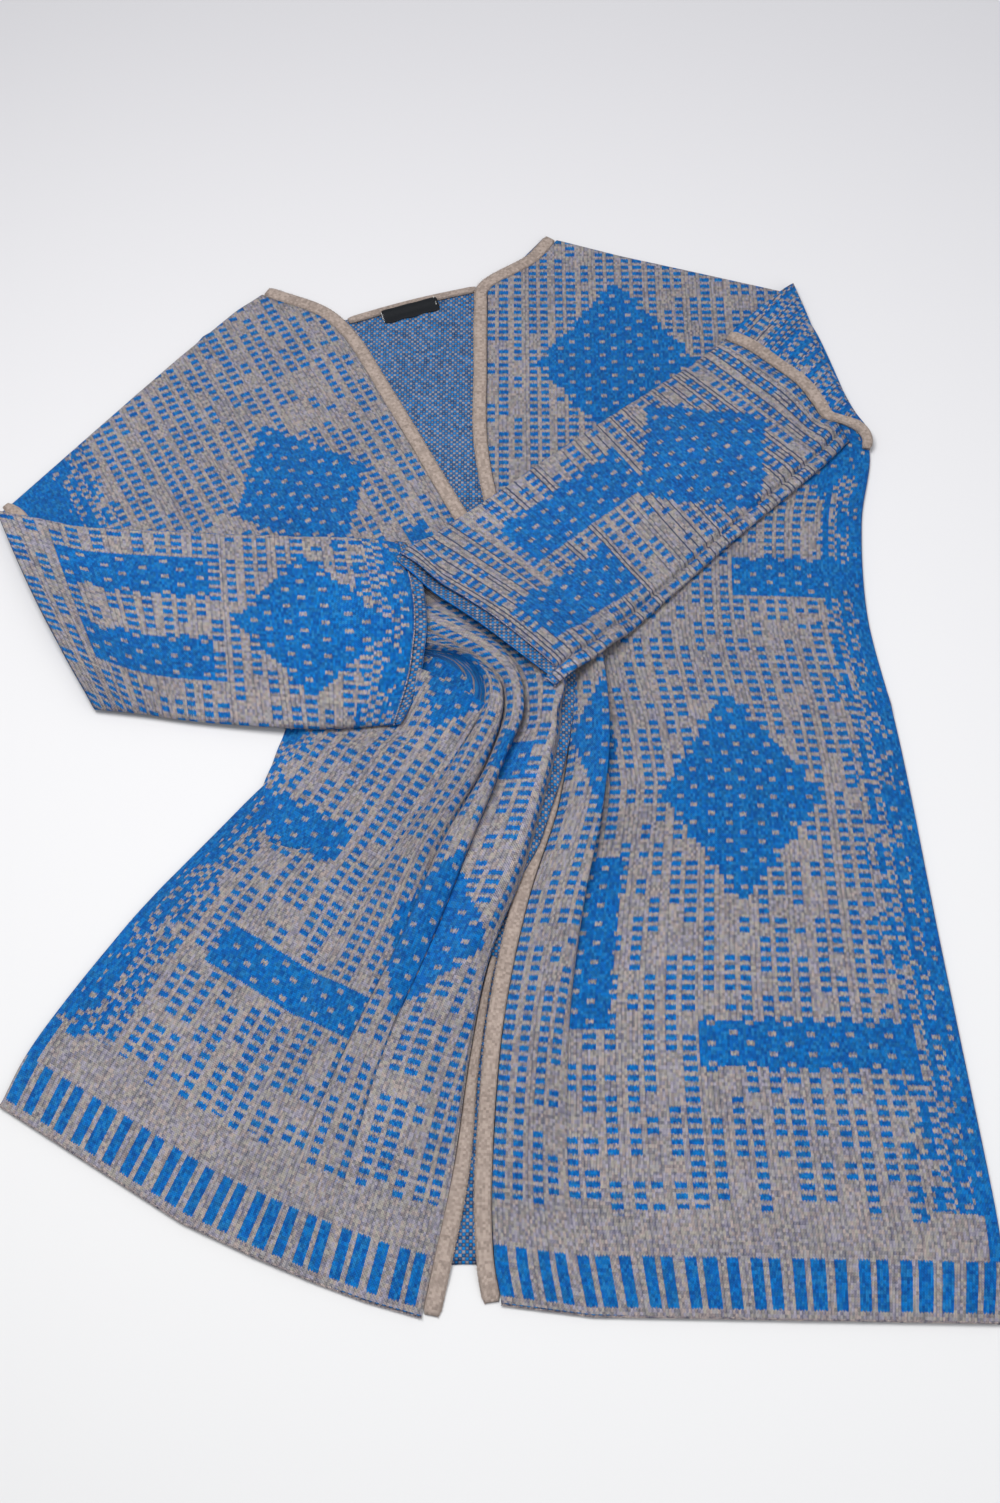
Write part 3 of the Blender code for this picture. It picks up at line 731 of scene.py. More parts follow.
def frontSurface(spec, frontEdge):
    # Plan places, heights over the ground, and stitch distances of a front.
    per = frontShape["rowsAGap"]
    names = list(spec["lines"])
    places = {name: smoothBetween(spec["lines"][name][2], per) for name in names if spec["lines"][name][2]}
    places["frontEdge"] = frontEdge
    none = (0,) * len(spec["lines"][names[0]][2] or spec["lines"][names[-1]][2])
    rises = {name: smoothBetween(spec["rise"].get(name, none), per) for name in names}
    plan, lift = [places[names[0]][:, None, :]], [rises[names[0]][:, None]]
    spans = []
    for name, following in zip(names, names[1:]):
        columns, crestAt, _ = spec["lines"][name]
        t = np.arange(1, columns + 1) / columns
        crests = np.maximum(smoothBetween(spec["crest"].get(name, none), per), 0.0)
        way = places[following] - places[name]
        width = np.linalg.norm(way, axis=1)
        pinch = np.clip(2.0 * crests / np.maximum(width, 1.0), 0.0, frontShape["mostPinch"])[:, None]
        spread = t[None, :] - pinch * np.sin(2 * math.pi * t[None, :]) / (2 * math.pi)
        eased = t * t * (3 - 2 * t)
        shape = crestShape(t, crestAt)[None, :]
        spread = spread[..., None]
        section = places[name][:, None, :] * (1 - spread) + places[following][:, None, :] * spread
        if name in spec["lean"]:
            lean = smoothBetween(spec["lean"][name], per)
            shift = way / np.maximum(width, 1e-6)[:, None] * lean[:, None]
            section = section + shift[:, None, :] * shape[..., None] ** 1.5
        plan.append(section)
        height = rises[name][:, None] * (1 - eased) + rises[following][:, None] * eased
        lift.append(height + crests[:, None] * shape)
        spans.append((name, columns))
    plan = np.concatenate(plan, axis=1)
    lift = np.maximum(np.concatenate(lift, axis=1), 0.0)
    return plan, lift, frontStitches(spec, plan, lift, spans)


def frontStitches(spec, plan, lift, spans):
    points = withHeight(plan, lift)
    steps = np.linalg.norm(np.diff(points, axis=1), axis=2)
    across, column, start = [np.zeros((len(plan), 1))], 0, 0.0
    for name, columns in spans:
        arc = np.cumsum(steps[:, column:column + columns], axis=1)
        cloth = np.full(len(plan), arc[-1, -1])
        across.append(start + spreadStitches(arc, cloth, spec["hidden"][name], 1.0 / columns))
        start += arc[-1, -1]
        column += columns
    across = np.concatenate(across, axis=1)
    flat = np.linalg.norm(np.diff(plan, axis=0), axis=2)
    along = np.concatenate([np.cumsum(flat[::-1], axis=0)[::-1], np.zeros((1, plan.shape[1]))])
    place, waleAt, courseAt, way = spec["upper"]
    way = np.array(way) / np.linalg.norm(way)
    upAcross = waleAt + jacquard["narrowed"] * ((plan - place) @ way)
    upAlong = courseAt + (plan - place) @ np.array((-way[1], way[0]))
    line = np.array(spec["hiddenLine"], float)
    upper = easeIn(0.5 + (plan[..., 1] - np.interp(plan[..., 0], line[:, 0], line[:, 1])) / 24.0)[..., None]
    lower = np.stack([across, along], axis=-1)
    return lower * (1 - upper) + np.stack([upAcross, upAlong], axis=-1) * upper


foldedFlap = {
    # The cloth below the left cuff is folded on itself: its top edge, how far down it shows, its height.
    "edge": ((-146, 116), (-112, 98), (-84, 80), (-72, 72), (-56, 64), (-40, 54), (-26, 45), (-13, 37)),
    "foot": ((-196, -78), (-176, -86), (-158, -92), (-140, -96), (-124, -100), (-110, -104),
             (-97, -108), (-86, -110)),
    "rows": 44,
    "height": 11.0,
    "fall": 0.62,                  # share of its length over which it sinks
    "sleeve": ((-60.0, 16.0), (-4.0, 18.0)),   # where the right sleeve holds it down, across and along
    "roll": ((1.0, 0.3), (1.8, 1.2), (2.1, 2.6), (1.6, 4.2), (0.4, 5.4)),
    "hidden": 56.0,                # courses folded away, in mm
    "stitches": ((-100, -100), 74, 153, (0.864, -0.503)),   # a place, its wale and course, across the wales
}
turnedEdge = {
    # The strip of wrong side that shows beside the pleat: its left and right edge.
    "left": ((41, 92), (41, 48), (39, 11), (34, -26), (27, -57), (20, -88), (12, -112)),
    "right": ((60, 92), (58.5, 48), (54, 11), (47, -26), (38, -57), (28.5, -88), (15, -114)),
    "rise": 4.5,
    "roll": ((0.9, 0.4), (1.5, 1.5), (1.7, 3.0), (1.2, 4.6)),
    "wall": 1.5,
}


def flapGrid(spec, top, flatEnd):
    # flatEnd is the last column of the front that lies flat beside the flap.
    edge = smoothBetween(spec["edge"], 12)
    foot = smoothBetween(spec["foot"], 12)
    t = np.linspace(0, 1, spec["rows"]) ** 1.2
    plan = edge[None] * (1 - t[:, None, None]) + foot[None] * t[:, None, None]
    cloth = Pile()
    cloth.layGrid(top[:, :flatEnd], 3)
    below = cloth.under(plan, 4.0)
    t, side = t[:, None], np.linspace(0, 1, plan.shape[1])[None, :]
    rise = spec["height"] * np.exp(-(t / spec["fall"]) ** 2) * (1 - 0.25 * easeIn((side - 0.86) / 0.14))
    rise = rise - 1.2 * easeIn((t - 0.7) / 0.3) - 2.0 * easeIn((0.12 - side) / 0.12)
    (right, broad), (low, long) = spec["sleeve"]
    covered = easeIn((plan[..., 1] - low) / long) * easeIn((right - plan[..., 0]) / broad)
    return withHeight(plan, below + rise * (1.0 - covered)), flapStitches(spec, plan)


def flapStitches(spec, plan):
    place, wale, course, way = spec["stitches"]
    across = wale * waleWidth + jacquard["narrowed"] * ((plan - place) @ np.array(way))
    along = course * courseHeight + (plan - place) @ np.array((-way[1], way[0]))
    return np.stack([across, along], axis=-1)


def clothFoldedAway(spec, plan, uv, flatEnd):
    # Beyond the flap's edge the cloth shows that comes after the part hidden in the fold.
    edge = np.array(spec["edge"], float)
    beyond = plan[..., 1] - np.interp(plan[..., 0], edge[:, 0], edge[:, 1])
    place = np.arange(plan.shape[1])[None, :]
    share = easeIn((beyond + 22.0) / 14.0) * easeIn((flatEnd - place) / 3.0)
    share = (share * easeIn((plan[..., 0] + 190.0) / 60.0))[..., None]
    return uv * (1 - share) + (flapStitches(spec, plan) + (0.0, spec["hidden"])) * share


def turnedStrip(spec, pile):
    left, right = smoothBetween(spec["left"], 10), smoothBetween(spec["right"], 10)
    t = np.linspace(0, 1, 9)
    plan = left[:, None] * (1 - t[None, :, None]) + right[:, None] * t[None, :, None]
    fade = np.linspace(1, 0, len(plan))[:, None] ** 0.4
    ground = pile.under(plan, 8.0) + gap
    rounded = 0.6 + 0.4 * np.sin(math.pi * t)[None, :]
    return withHeight(plan, ground + clothWall + spec["rise"] * fade * rounded)


def bandPiece(name, centre, pile, material, wall, reach, rows):
    # A closed, rounded tube of knitting along a line; the section is a rounded rectangle.
    path = smoothBetween(centre, frontShape["rowsAGap"])[rows]
    shares = np.array((-0.5, -0.46, -0.38, -0.2, 0.0, 0.2, 0.38, 0.46, 0.5))
    rounding = np.array((0.45, 0.75, 0.94, 1.0, 0.98, 1.0, 0.94, 0.75, 0.45))
    plan = np.stack([bandLine(centre, share)[rows] for share in shares], axis=1)
    middle = plan[:, 4:5].copy()
    along = lengthAlong(path[:, :2])
    ends = 0.78 + 0.22 * easeIn(np.minimum(along, along[-1] - along) / 5.0)[:, None]
    plan = middle + (plan - middle) * (0.93 + unevenness(middle, 9, 0.07)[..., None]) * ends[..., None]
    wall = wall * (0.85 + unevenness(middle, 12, 0.15)) * ends
    ground = pile.under(plan, reach) + gap
    high = ground + wall * rounding[None, :]
    low = np.minimum(ground + wall * 0.25, high)
    low[:, 1:-1] = ground[:, 1:-1]
    top = withHeight(plan, high)
    ring = np.concatenate([top, withHeight(plan, low)[:, ::-1]], axis=1)
    around = np.linspace(0, 1, ring.shape[1] + 1) * 30.0
    uv = np.stack(np.meshgrid(around, along), axis=-1)
    piece = sheetMesh(name, [(ring, uv, True, False)], [material])
    closeEnds(piece)
    return piece, top, float(along[-1])


def closeEnds(piece):
    shape = bmesh.new()
    shape.from_mesh(piece.data)
    bmesh.ops.holes_fill(shape, edges=[edge for edge in shape.edges if edge.is_boundary], sides=0)
    bmesh.ops.recalc_face_normals(shape, faces=shape.faces)
    shape.to_mesh(piece.data)
    shape.free()


# Back panel

backOutline = (
    (-204, 492), (-222, 479), (-269, 441), (-303, 381), (-344, 329), (-406, 253), (-414, 233), (-388, 181),
    (-328, 70), (-237, 46), (-183, 36), (-147, 12), (-197, -55), (-259, -134), (-313, -218), (-350, -296),
    (-316, -312), (-215, -374), (-130, -408), (-60, -418), (-27, -416), (0, -416), (120, -436), (250, -442),
    (330, -447), (335, -365), (326, -245), (319, -150), (311, -30), (305, 38), (294, 130), (297, 225),
    (312, 300), (300, 362), (279, 430), (256, 486), (165, 510), (52, 552), (40, 565), (24, 544),
    (8, 520), (-16, 504), (-80, 484), (-141, 461),
)
backSpec = {"inset": 1.5, "cell": 9.0, "wall": 1.8, "cloth": (330, 520)}   # cloth: where its pattern starts


def backPanel(outline, spec, materials):
    # A flat sheet, inside up, cut along the outline.
    corners = np.array(outline, float)
    ahead = np.roll(corners, -1, axis=0) - np.roll(corners, 1, axis=0)
    inwards = np.stack([-ahead[:, 1], ahead[:, 0]], axis=1) / np.linalg.norm(ahead, axis=1)[:, None]
    corners = corners + inwards * spec["inset"]
    edge = []
    for start, end in zip(corners, np.roll(corners, -1, axis=0)):
        count = max(1, int(np.linalg.norm(end - start) / spec["cell"]))
        edge += [start + (end - start) * step / count for step in range(count)]
    count = len(edge)
    x, y = np.meshgrid(np.arange(-460, 380, spec["cell"]), np.arange(-480, 600, spec["cell"]))
    inside = insideOutline(x, y, [tuple(p) for p in corners])
    places = np.stack([x, y], -1)
    away = np.min(np.linalg.norm(places[:, :, None] - np.array(edge)[None, None], axis=-1), axis=2)
    inner = places[inside & (away > 0.5 * spec["cell"])]
    flat = [tuple(p) for p in np.vstack([edge, inner])]
    loop = [(i, (i + 1) % count) for i in range(count)]
    found, _, faces, *_ = geometry.delaunay_2d_cdt([tuple(map(float, p)) for p in flat], loop, [], 1, 1e-4)
    points = np.array([(p[0], p[1], spec["wall"]) for p in found])
    stitches = points[np.concatenate(faces), :2] + spec["cloth"]
    piece = meshPiece("backPanel", points, faces, stitches, materials)
    if piece.data.polygons[0].normal.z < 0:
        piece.data.flip_normals()
    giveWall(piece, spec["wall"])
    return piece


# Sleeves

sleeveShape = {
    "rows": 96,
    "edgeSteps": (0.0, 0.4, 1.1, 2.0, 3.2, 4.8, 6.6, 8.4, 9.8, 10.8, 11.6, 12.4, 13.2, 14.2, 16.0, 19.0),
    "middleColumns": 36,
    "full": 6.4,
    "cuffFull": 4.6,
    "reach": 16.0,
    "edgeRound": 3.4,
    "wall": 1.7,
    "seamRows": 14,                # rows over which the sleeve's end comes to the armhole's line
    "seamDip": (4.6, 4.5),         # depth and width of the hollow at the armhole
    "cuff": 30.0,                  # mm over which the sleeve thins to its cuff
    "strip": 40.0,                 # mm over which one layer grows longer than the other
    "curl": (2.4, 14.0),           # how far the lower layer's end turns up, and over how much
}
leftSleeve = {
    "sections": (((206, 426), (307, 315), 2), ((158, 389), (266, 272), 0), ((101, 343), (199, 206), 0),
                 ((48, 298), (148, 152), 0), ((-37, 222), (91, 92), -2), ((-83, 177), (52, 53), -7)),
    "corner": (303, 313),              # where its lower edge meets the armhole band
    "groove": (11.6, 4.4, 1.5),        # distance from the lower edge, depth, width
    "cuffStrip": 12.0,
    "plump": 1.6,
    "folds": (((222, 345), (70, 190), 16, 1.2), ((262, 300), (215, 262), 8, 1.0)),
}
rightSleeve = {
    "sections": (((-425, 232), (-323, 36), -5), ((-345, 215), (-285, 31), -1), ((-260, 209), (-234, 23), 0),
                 ((-175, 203), (-150, 15), 0), ((-84, 197), (-84, 20), 15)),
    "groove": None,
    "cuffStrip": 10.0,
    "plump": 1.4,
    "folds": (((-330, 168), (-120, 150), 14, 1.2), ((-262, 62), (-96, 44), 11, 1.2),
              ((-372, 150), (-300, 60), 9, 1.3)),
}


def sleevePiece(name, spec, pile, materials, seam=None, flip=False):
    sections = np.array([[*upper, *lower, bow] for upper, lower, bow in spec["sections"]], float)
    rows = smoothBetween(sections, max(1, round(sleeveShape["rows"] / (len(sections) - 1))))
    steps = np.array(sleeveShape["edgeSteps"])
    width = np.linalg.norm(rows[:, 2:4] - rows[:, :2], axis=1)[:, None]
    inner = np.linspace(0, 1, sleeveShape["middleColumns"])[None, 1:-1]
    t = np.concatenate([steps / width, (steps[-1] + inner * (width - 2 * steps[-1])) / width,
                        1 - steps[::-1] / width], axis=1)
    middle = 0.5 * (rows[:, :2] + rows[:, 2:4])
    axis = np.gradient(middle, axis=0)
    axis /= np.linalg.norm(axis, axis=1)[:, None]
    plan = rows[:, None, :2] * (1 - t[..., None]) + rows[:, None, 2:4] * t[..., None]
    plan = plan + axis[:, None, :] * (rows[:, 4:5] * np.sin(math.pi * t))[..., None]
    if seam is not None:
        taken = sleeveShape["seamRows"]
        shift = spreadEvenly(seam, t[0]) - plan[0]
        for row in range(taken):
            plan[row] += shift * (1 - row / taken) ** 1.5
    along = lengthAlong(middle)
    toCuff = along - along[-1]
    strip = spec["cuffStrip"] * easeIn(toCuff / sleeveShape["strip"] + 1)[:, None]
    if spec["groove"]:
        beyond = easeIn((spec["groove"][0] + 0.6 - (1 - t) * width) / 1.2)
        plan = plan + axis[:, None, :] * (strip * beyond)[..., None]
    else:
        beyond = np.zeros(t.shape)
    fromEdge = np.minimum(t, 1 - t) * width
    share = np.clip(fromEdge / sleeveShape["edgeRound"], 0, 1)
    rounding = np.sqrt(np.maximum(1 - (1 - share) ** 2, 0.0))
    plump = spec["plump"] * np.sin(math.pi * np.clip(t, 0, 1)) ** 0.5
    nearCuff = easeIn(toCuff / sleeveShape["cuff"] + 1)[:, None]
    full = sleeveShape["full"] * (1 - nearCuff) + sleeveShape["cuffFull"] * nearCuff
    ground = pile.under(plan, sleeveShape["reach"]) + gap
    half = 0.5 * (full + plump * (1 - nearCuff) + unevenness(plan, len(name), 0.7))
    low = ground + half - half * rounding
    high = ground + half + half * rounding + softFolds(plan, spec["folds"])
    if spec["groove"]:
        away, depth, broad = spec["groove"]
        fromLower = (1 - t) * width
        high = high - depth * np.exp(-((fromLower - away) / broad) ** 2)
        high = high - 1.3 * easeIn((away - fromLower) / 2.0) * easeIn(fromLower / 3.0)
    if seam is not None:
        depth, broad = sleeveShape["seamDip"]
        high = high - depth * np.exp(-(along[:, None] / broad) ** 2)
    longer = strip * (1 - beyond) * np.sin(math.pi * np.clip(t, 0.01, 0.99)) ** 0.2
    turnUp, over = sleeveShape["curl"]
    curl = turnUp * easeIn(toCuff / over + 1)[:, None] * rounding
    top = withHeight(plan, high)
    bottom = withHeight(plan + axis[:, None, :] * longer[..., None], low + curl)
    ring = np.concatenate([top, bottom[:, -2:0:-1]], axis=1)
    steps = np.linalg.norm(np.diff(np.concatenate([ring, ring[:, :1]], axis=1), axis=1), axis=2)
    around = np.concatenate([np.zeros((len(ring), 1)), np.cumsum(steps, axis=1)], axis=1)
    uv = np.stack([np.repeat(along[:, None], around.shape[1], axis=1), around], axis=-1)
    piece = sheetMesh(name, [(ring, uv, True, flip)], materials)
    giveWall(piece, sleeveShape["wall"])
    return piece, top, float(along[-1]), float(around[:, -1].mean())


def spreadEvenly(line, shares):
    # Places along a line at shares of its length.
    steps = lengthAlong(line)
    return np.stack([np.interp(shares * steps[-1], steps, line[:, axis]) for axis in (0, 1)], axis=1)


# Turned shoulder, armhole bands and label

turnedShoulder = {
    "silhouette": ((268, 501), (277, 465), (288, 416), (299, 381), (309, 351), (318, 333)),
    "section": (0.25, 0.75, 0.95, 1.0, 1.0, 0.96, 0.85, 0.5),
    "height": 5.2,
    "roll": ((0.8, 0.6), (1.3, 1.8), (1.4, 3.4), (1.0, 5.0)),
    "wall": 1.5,
}
armBands = {
    "left": ((206, 437, 13), (226, 424, 13), (246, 404, 13), (268, 381, 13), (281, 357, 13),
             (287, 343, 12), (301, 338, 11), (314, 328, 10), (319, 316, 9), (317, 305, 8)),
    "right": ((-420, 243, 9), (-405, 229, 12), (-390, 196, 13), (-370, 152, 13), (-345, 108, 13)),
    "turnedWall": 4.6,
}
neckBand = ((-137, 457.6, 7.6), (-79, 480, 7.6), (-22, 497.2, 7.6))
labelSpec = {
    "corners": ((-108.5, 467), (-58, 485.5), (-54, 472.5), (-104.5, 454)),
    "wall": 0.7,
    "crumple": 0.5,
    # The end stitches: shares of the label's width and depth.
    "stitches": (((0.035, 0.25), (0.03, 0.9)), ((0.965, 0.1), (0.975, 0.6))),
    "thread": ((0.35, 0.35, 0.35, 1.0), (0.80, 0.80, 0.78, 1.0)),
}


def turnback(spec, pile, materials):
    outer = smoothBetween(spec["silhouette"], frontShape["rowsAGap"])
    inner = bandLine(armBands["left"], -0.2)[:len(outer)]
    section = smoothBetween(spec["section"], 3)
    t = np.linspace(0, 1, len(section))
    plan = outer[:, None] * (1 - t[None, :, None]) + inner[:, None] * t[None, :, None]
    ground = pile.under(plan, frontShape["reach"]) + gap
    top = withHeight(plan, ground + spec["height"] * section[None, :] + unevenness(plan, 5, 0.4))
    uv = np.stack([plan @ np.array((0.78, -0.62)), plan @ np.array((0.62, 0.78))], axis=-1)
    points, uv = wrapEdges(top[:, ::-1], uv[:, ::-1], ("right",), spec["roll"])
    piece = sheetMesh("shoulderTurnback", [(points, uv, False, False)], materials)
    giveWall(piece, spec["wall"])
    return piece


def labelPiece(spec, pile, material):
    corners = np.array(spec["corners"], float)
    s = np.linspace(0, 1, 25)
    t = np.linspace(0, 1, 9)
    upper = corners[0] * (1 - s[:, None]) + corners[1] * s[:, None]
    lower = corners[3] * (1 - s[:, None]) + corners[2] * s[:, None]
    plan = upper[None] * (1 - t[:, None, None]) + lower[None] * t[:, None, None]
    corner = (np.abs(2 * t[:, None] - 1) ** 4)[..., None] * np.abs(2 * s[None, :, None] - 1) ** 8
    middle = plan.mean(axis=(0, 1))
    plan = middle + (plan - middle) * (1.0 - 0.044 * corner)
    plan[..., 1] += spec["crumple"] * np.sin(s[None, :] * 17.0 + t[:, None] * 2.0) * (0.4 + t[:, None])
    ground = pile.under(plan, 2.0) + gap + 0.5
    edge = np.minimum(np.minimum(s, 1 - s)[None, :] * 12, np.minimum(t, 1 - t)[:, None] * 5)
    height = ground + spec["wall"] * (0.55 + 0.45 * easeIn(edge))
    top = withHeight(plan, height)
    piece = sheetMesh("neckLabel", [(top, plan, False, False)], [material])
    giveWall(piece, 0.6, 0)
    return piece, top


# Edge stitches and loose fibres

edgeYarn = {
    "Spacing": 0.0019,             # from one stitch to the next
    "Stitch Length": 0.0017,
    "Stitch Width": 0.0008,
    "Slant": 0.45,                 # turn of each stitch, to either side in turn
    "Fibre Spacing": 0.0007,
    "Fibre Length": 0.0030,
    "Fibre Width": 0.00007,
    "Seed": 5,
}
trimSpec = {
    # Yarn, slot, and what differs from edgeYarn.
    "hemLoops": ("taupeYarn", "jacquard_outside", {"Slant": 1.0, "Spacing": 0.0013}),
    "cuffLoops": ("taupeYarn", "jacquard_outside", {"Slant": 1.0, "Spacing": 0.0014}),
    "bandChain": ("bandYarn", "plain_knit_band", {}),
    "labelStitches": ("labelThread", "woven_label", {"Slant": 0.3, "Spacing": 0.0015}),
}


def edgeYarnTree():
    tree = bpy.data.node_groups.new("edgeYarn", "GeometryNodeTree")
    tree.interface.new_socket("Geometry", in_out="INPUT", socket_type="NodeSocketGeometry")
    for name, value in edgeYarn.items():
        kind = "NodeSocketInt" if isinstance(value, int) else "NodeSocketFloat"
        tree.interface.new_socket(name, in_out="INPUT", socket_type=kind)
    tree.interface.new_socket("Yarn", in_out="INPUT", socket_type="NodeSocketMaterial")
    tree.interface.new_socket("Geometry", in_out="OUTPUT", socket_type="NodeSocketGeometry")
    wire = Wire(tree)
    given = wire.node("NodeGroupInput")
    value = {socket.name: Wire(tree, socket) for socket in given.socket.node.outputs}
    path = wire.node("GeometryNodeMeshToCurve", None, {"Mesh": value["Geometry"]})
    tangent = wire.node("GeometryNodeInputTangent")
    index = wire.node("GeometryNodeInputIndex")

    points = wire.node("GeometryNodeResampleCurve", {"mode": "LENGTH"},
                       {"Curve": path, "Length": value["Spacing"]})
    along = wire.node("FunctionNodeAlignRotationToVector", {"axis": "X"}, {"Vector": tangent})
    side = (index % 2.0) * 2.0 - 1.0
    slant = wire.node("FunctionNodeAxisAngleToRotation", None,
                      {"Axis": (0.0, 0.0, 1.0), "Angle": side * value["Slant"]})
    turned = wire.node("FunctionNodeRotateRotation", {"rotation_space": "LOCAL"},
                       {"Rotation": along, "Rotate By": slant})
    length, width = value["Stitch Length"] * 0.5, value["Stitch Width"] * 0.5
    size = wire.node("ShaderNodeCombineXYZ", None, {0: length, 1: width, 2: width})
    bead = wire.node("GeometryNodeMeshUVSphere", None, {"Segments": 6, "Rings": 4, "Radius": 1.0})
    bead = wire.node("GeometryNodeTransform", None, {"Geometry": bead, "Scale": size})
    stitches = wire.node("GeometryNodeInstanceOnPoints", None,
                         {"Points": points, "Instance": bead, "Rotation": turned})

    starts = wire.node("GeometryNodeResampleCurve", {"mode": "LENGTH"},
                       {"Curve": path, "Length": value["Fibre Spacing"]})
    hair = wire.node("GeometryNodeMeshCone", None,
                     {"Vertices": 3, "Radius Top": 0.2, "Radius Bottom": 1.0, "Depth": 1.0})
    width = value["Fibre Width"]
    hairSize = wire.node("ShaderNodeCombineXYZ", None, {0: width, 1: width, 2: value["Fibre Length"]})
    hair = wire.node("GeometryNodeTransform", None, {"Geometry": hair, "Scale": hairSize})
    lean = wire.node("FunctionNodeRandomValue", {"data_type": "FLOAT_VECTOR"},
                     {0: (-1.0, -1.0, 0.0), 1: (1.0, 1.0, 0.8), "Seed": value["Seed"]})
    way = wire.node("FunctionNodeAlignRotationToVector", {"axis": "Z"}, {"Vector": lean})
    length = wire.node("FunctionNodeRandomValue", {"data_type": "FLOAT"},
                       {2: 0.3, 3: 1.0, "Seed": value["Seed"]}, 1)
    fibres = wire.node("GeometryNodeInstanceOnPoints", None,
                       {"Points": starts, "Instance": hair, "Rotation": way, "Scale": length})
    joined = wire.node("GeometryNodeJoinGeometry")
    for part in (stitches, fibres):
        tree.links.new(part.socket, joined.socket.node.inputs[0])
    real = wire.node("GeometryNodeRealizeInstances", None, {"Geometry": joined})
    done = wire.node("GeometryNodeSetMaterial", None, {"Geometry": real, "Material": value["Yarn"]})
    out = tree.nodes.new("NodeGroupOutput")
    tree.links.new(done.socket, out.inputs[0])
    return tree


def sewEdges(name, tree, paths, material, changes):
    # Stitches and fibres along lines of points in millimetres.
    vertices, edges = [], []
    for path in paths:
        start = len(vertices)
        vertices += inScene(path)
        edges += [(start + step, start + step + 1) for step in range(len(path) - 1)]
    mesh = bpy.data.meshes.new(name + "Path")
    mesh.from_pydata(vertices, edges, [])
    source = link(name + "Path", mesh)
    modifier = source.modifiers.new("yarn", "NODES")
    modifier.node_group = tree
    values = {**edgeYarn, "Yarn": material, **changes}
    for item in tree.interface.items_tree:
        if item.in_out == "INPUT" and item.name in values:
            modifier[item.identifier] = values[item.name]
    source.update_tag()
    ready = source.evaluated_get(bpy.context.evaluated_depsgraph_get())
    made = link(name, bpy.data.meshes.new_from_object(ready))
    made.data.shade_smooth()
    bpy.data.objects.remove(source)
    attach(made, "root")
    print("made", name, len(made.data.polygons))


def yarnMaterial(name, dark, light):
    material, wire, shader = newMaterial(name, 0.95, 0.1)
    place = wire.node("ShaderNodeTexCoord", None, None, 3)
    grain = wire.node("ShaderNodeTexNoise", None, {"Vector": place, "Scale": 420.0, "Detail": 1.0})
    colour = ((grain - 0.3) * 2.4).clamp().mix(dark, light)
    wire.tree.links.new(colour.socket, shader.inputs["Base Color"])
    return material


# Materials

# Generic motifs: kind, middle wale and course, half width and half height.
motifs = {
    "right": (
        ("diamond", 64, 258, 32, 46), ("bar", 74, 93, 36, 10), ("diamond", 128, 136, 27, 38),
        ("bar", 36, 151, 26, 10), ("diamond", 110, 400, 36, 42), ("bar", 150, 330, 6, 30),
        ("bar", 70, 330, 44, 7), ("bar", 132, 217, 12, 9)),
    "left": (
        ("diamond", 96, 205, 37, 48), ("bar", 116, 99, 38, 10), ("bar", 38, 140, 9, 36),
        ("diamond", 22, 228, 20, 38), ("diamond", 28, 300, 22, 30), ("diamond", 62, 430, 43, 50),
        ("bar", 140, 310, 32, 10), ("diamond", 150, 380, 22, 28)),
    "leftSleeve": (("diamond", 58, 44, 38, 38), ("bar", 120, 30, 32, 13), ("bar", 152, 66, 28, 13)),
    "rightSleeve": (("bar", 44, 26, 28, 10), ("bar", 44, 68, 28, 10), ("diamond", 112, 48, 30, 36)),
    "back": (
        ("diamond", 170, 300, 44, 60), ("bar", 170, 160, 60, 8), ("diamond", 80, 180, 26, 36),
        ("diamond", 260, 180, 26, 36), ("bar", 170, 420, 60, 8)),
}


def makeCloths():
    cloths = {
        "right": jacquardMaterial("jacquardRight", motifs["right"], (0.0, None), True, seed=3.0),
        "left": jacquardMaterial("jacquardLeft", motifs["left"], (None, 172.0), True, seed=8.0),
        "leftSleeve": jacquardMaterial("jacquardLeftSleeve", motifs["leftSleeve"], (None, 192.0), False,
                                       ribs=1.0, seed=13.0, mottled=1.0),
        "rightSleeve": jacquardMaterial("jacquardRightSleeve", motifs["rightSleeve"], (None, 150.0), False,
                                        ribs=0.35, seed=17.0, mottled=28.0),
        "turned": jacquardMaterial("jacquardTurned", (), (None, None), False,
                                   ribs=0.9, share=0.42, seed=23.0),
        "back": jacquardMaterial("jacquardBack", motifs["back"], (None, None), False, seed=29.0),
        "purl": purlMaterial("jacquardInside"),
        "band": bandMaterial("plainBand"),
        "label": labelMaterial("blackSatin"),
        "bandYarn": yarnMaterial("bandYarn", yarn["bandDark"], yarn["bandLight"]),
        "taupeYarn": yarnMaterial("taupeYarn", yarn["taupeDark"], yarn["taupeLights"][0]),
        "labelThread": yarnMaterial("labelThread", *labelSpec["thread"]),
    }
    print("materials made")
    return cloths


# Laying the garment, from the table up

def makeTable(spec):
    half = spec["half"]
    mesh = bpy.data.meshes.new("table")
    corners = [(-half, -half, 0), (half, -half, 0), (half, half, 0), (-half, half, 0)]
    mesh.from_pydata(corners, [], [(0, 1, 2, 3)])
    mesh.materials.append(tableMaterial(spec))
    link("table", mesh)


def layBand(name, node, centre, pile, cloths, restsOn, wall=None, reach=None, width=0.012, cut=None,
            rows=slice(None)):
    # cut is the width that shows, in metres, where it isn't the whole width.
    piece, top, length = bandPiece(name, centre, pile, cloths["band"], wall or frontBands["wall"],
                                   reach or frontBands["reach"], rows)
    area = cut * length * millimetre if cut else None
    settle(piece, [node])
    return top


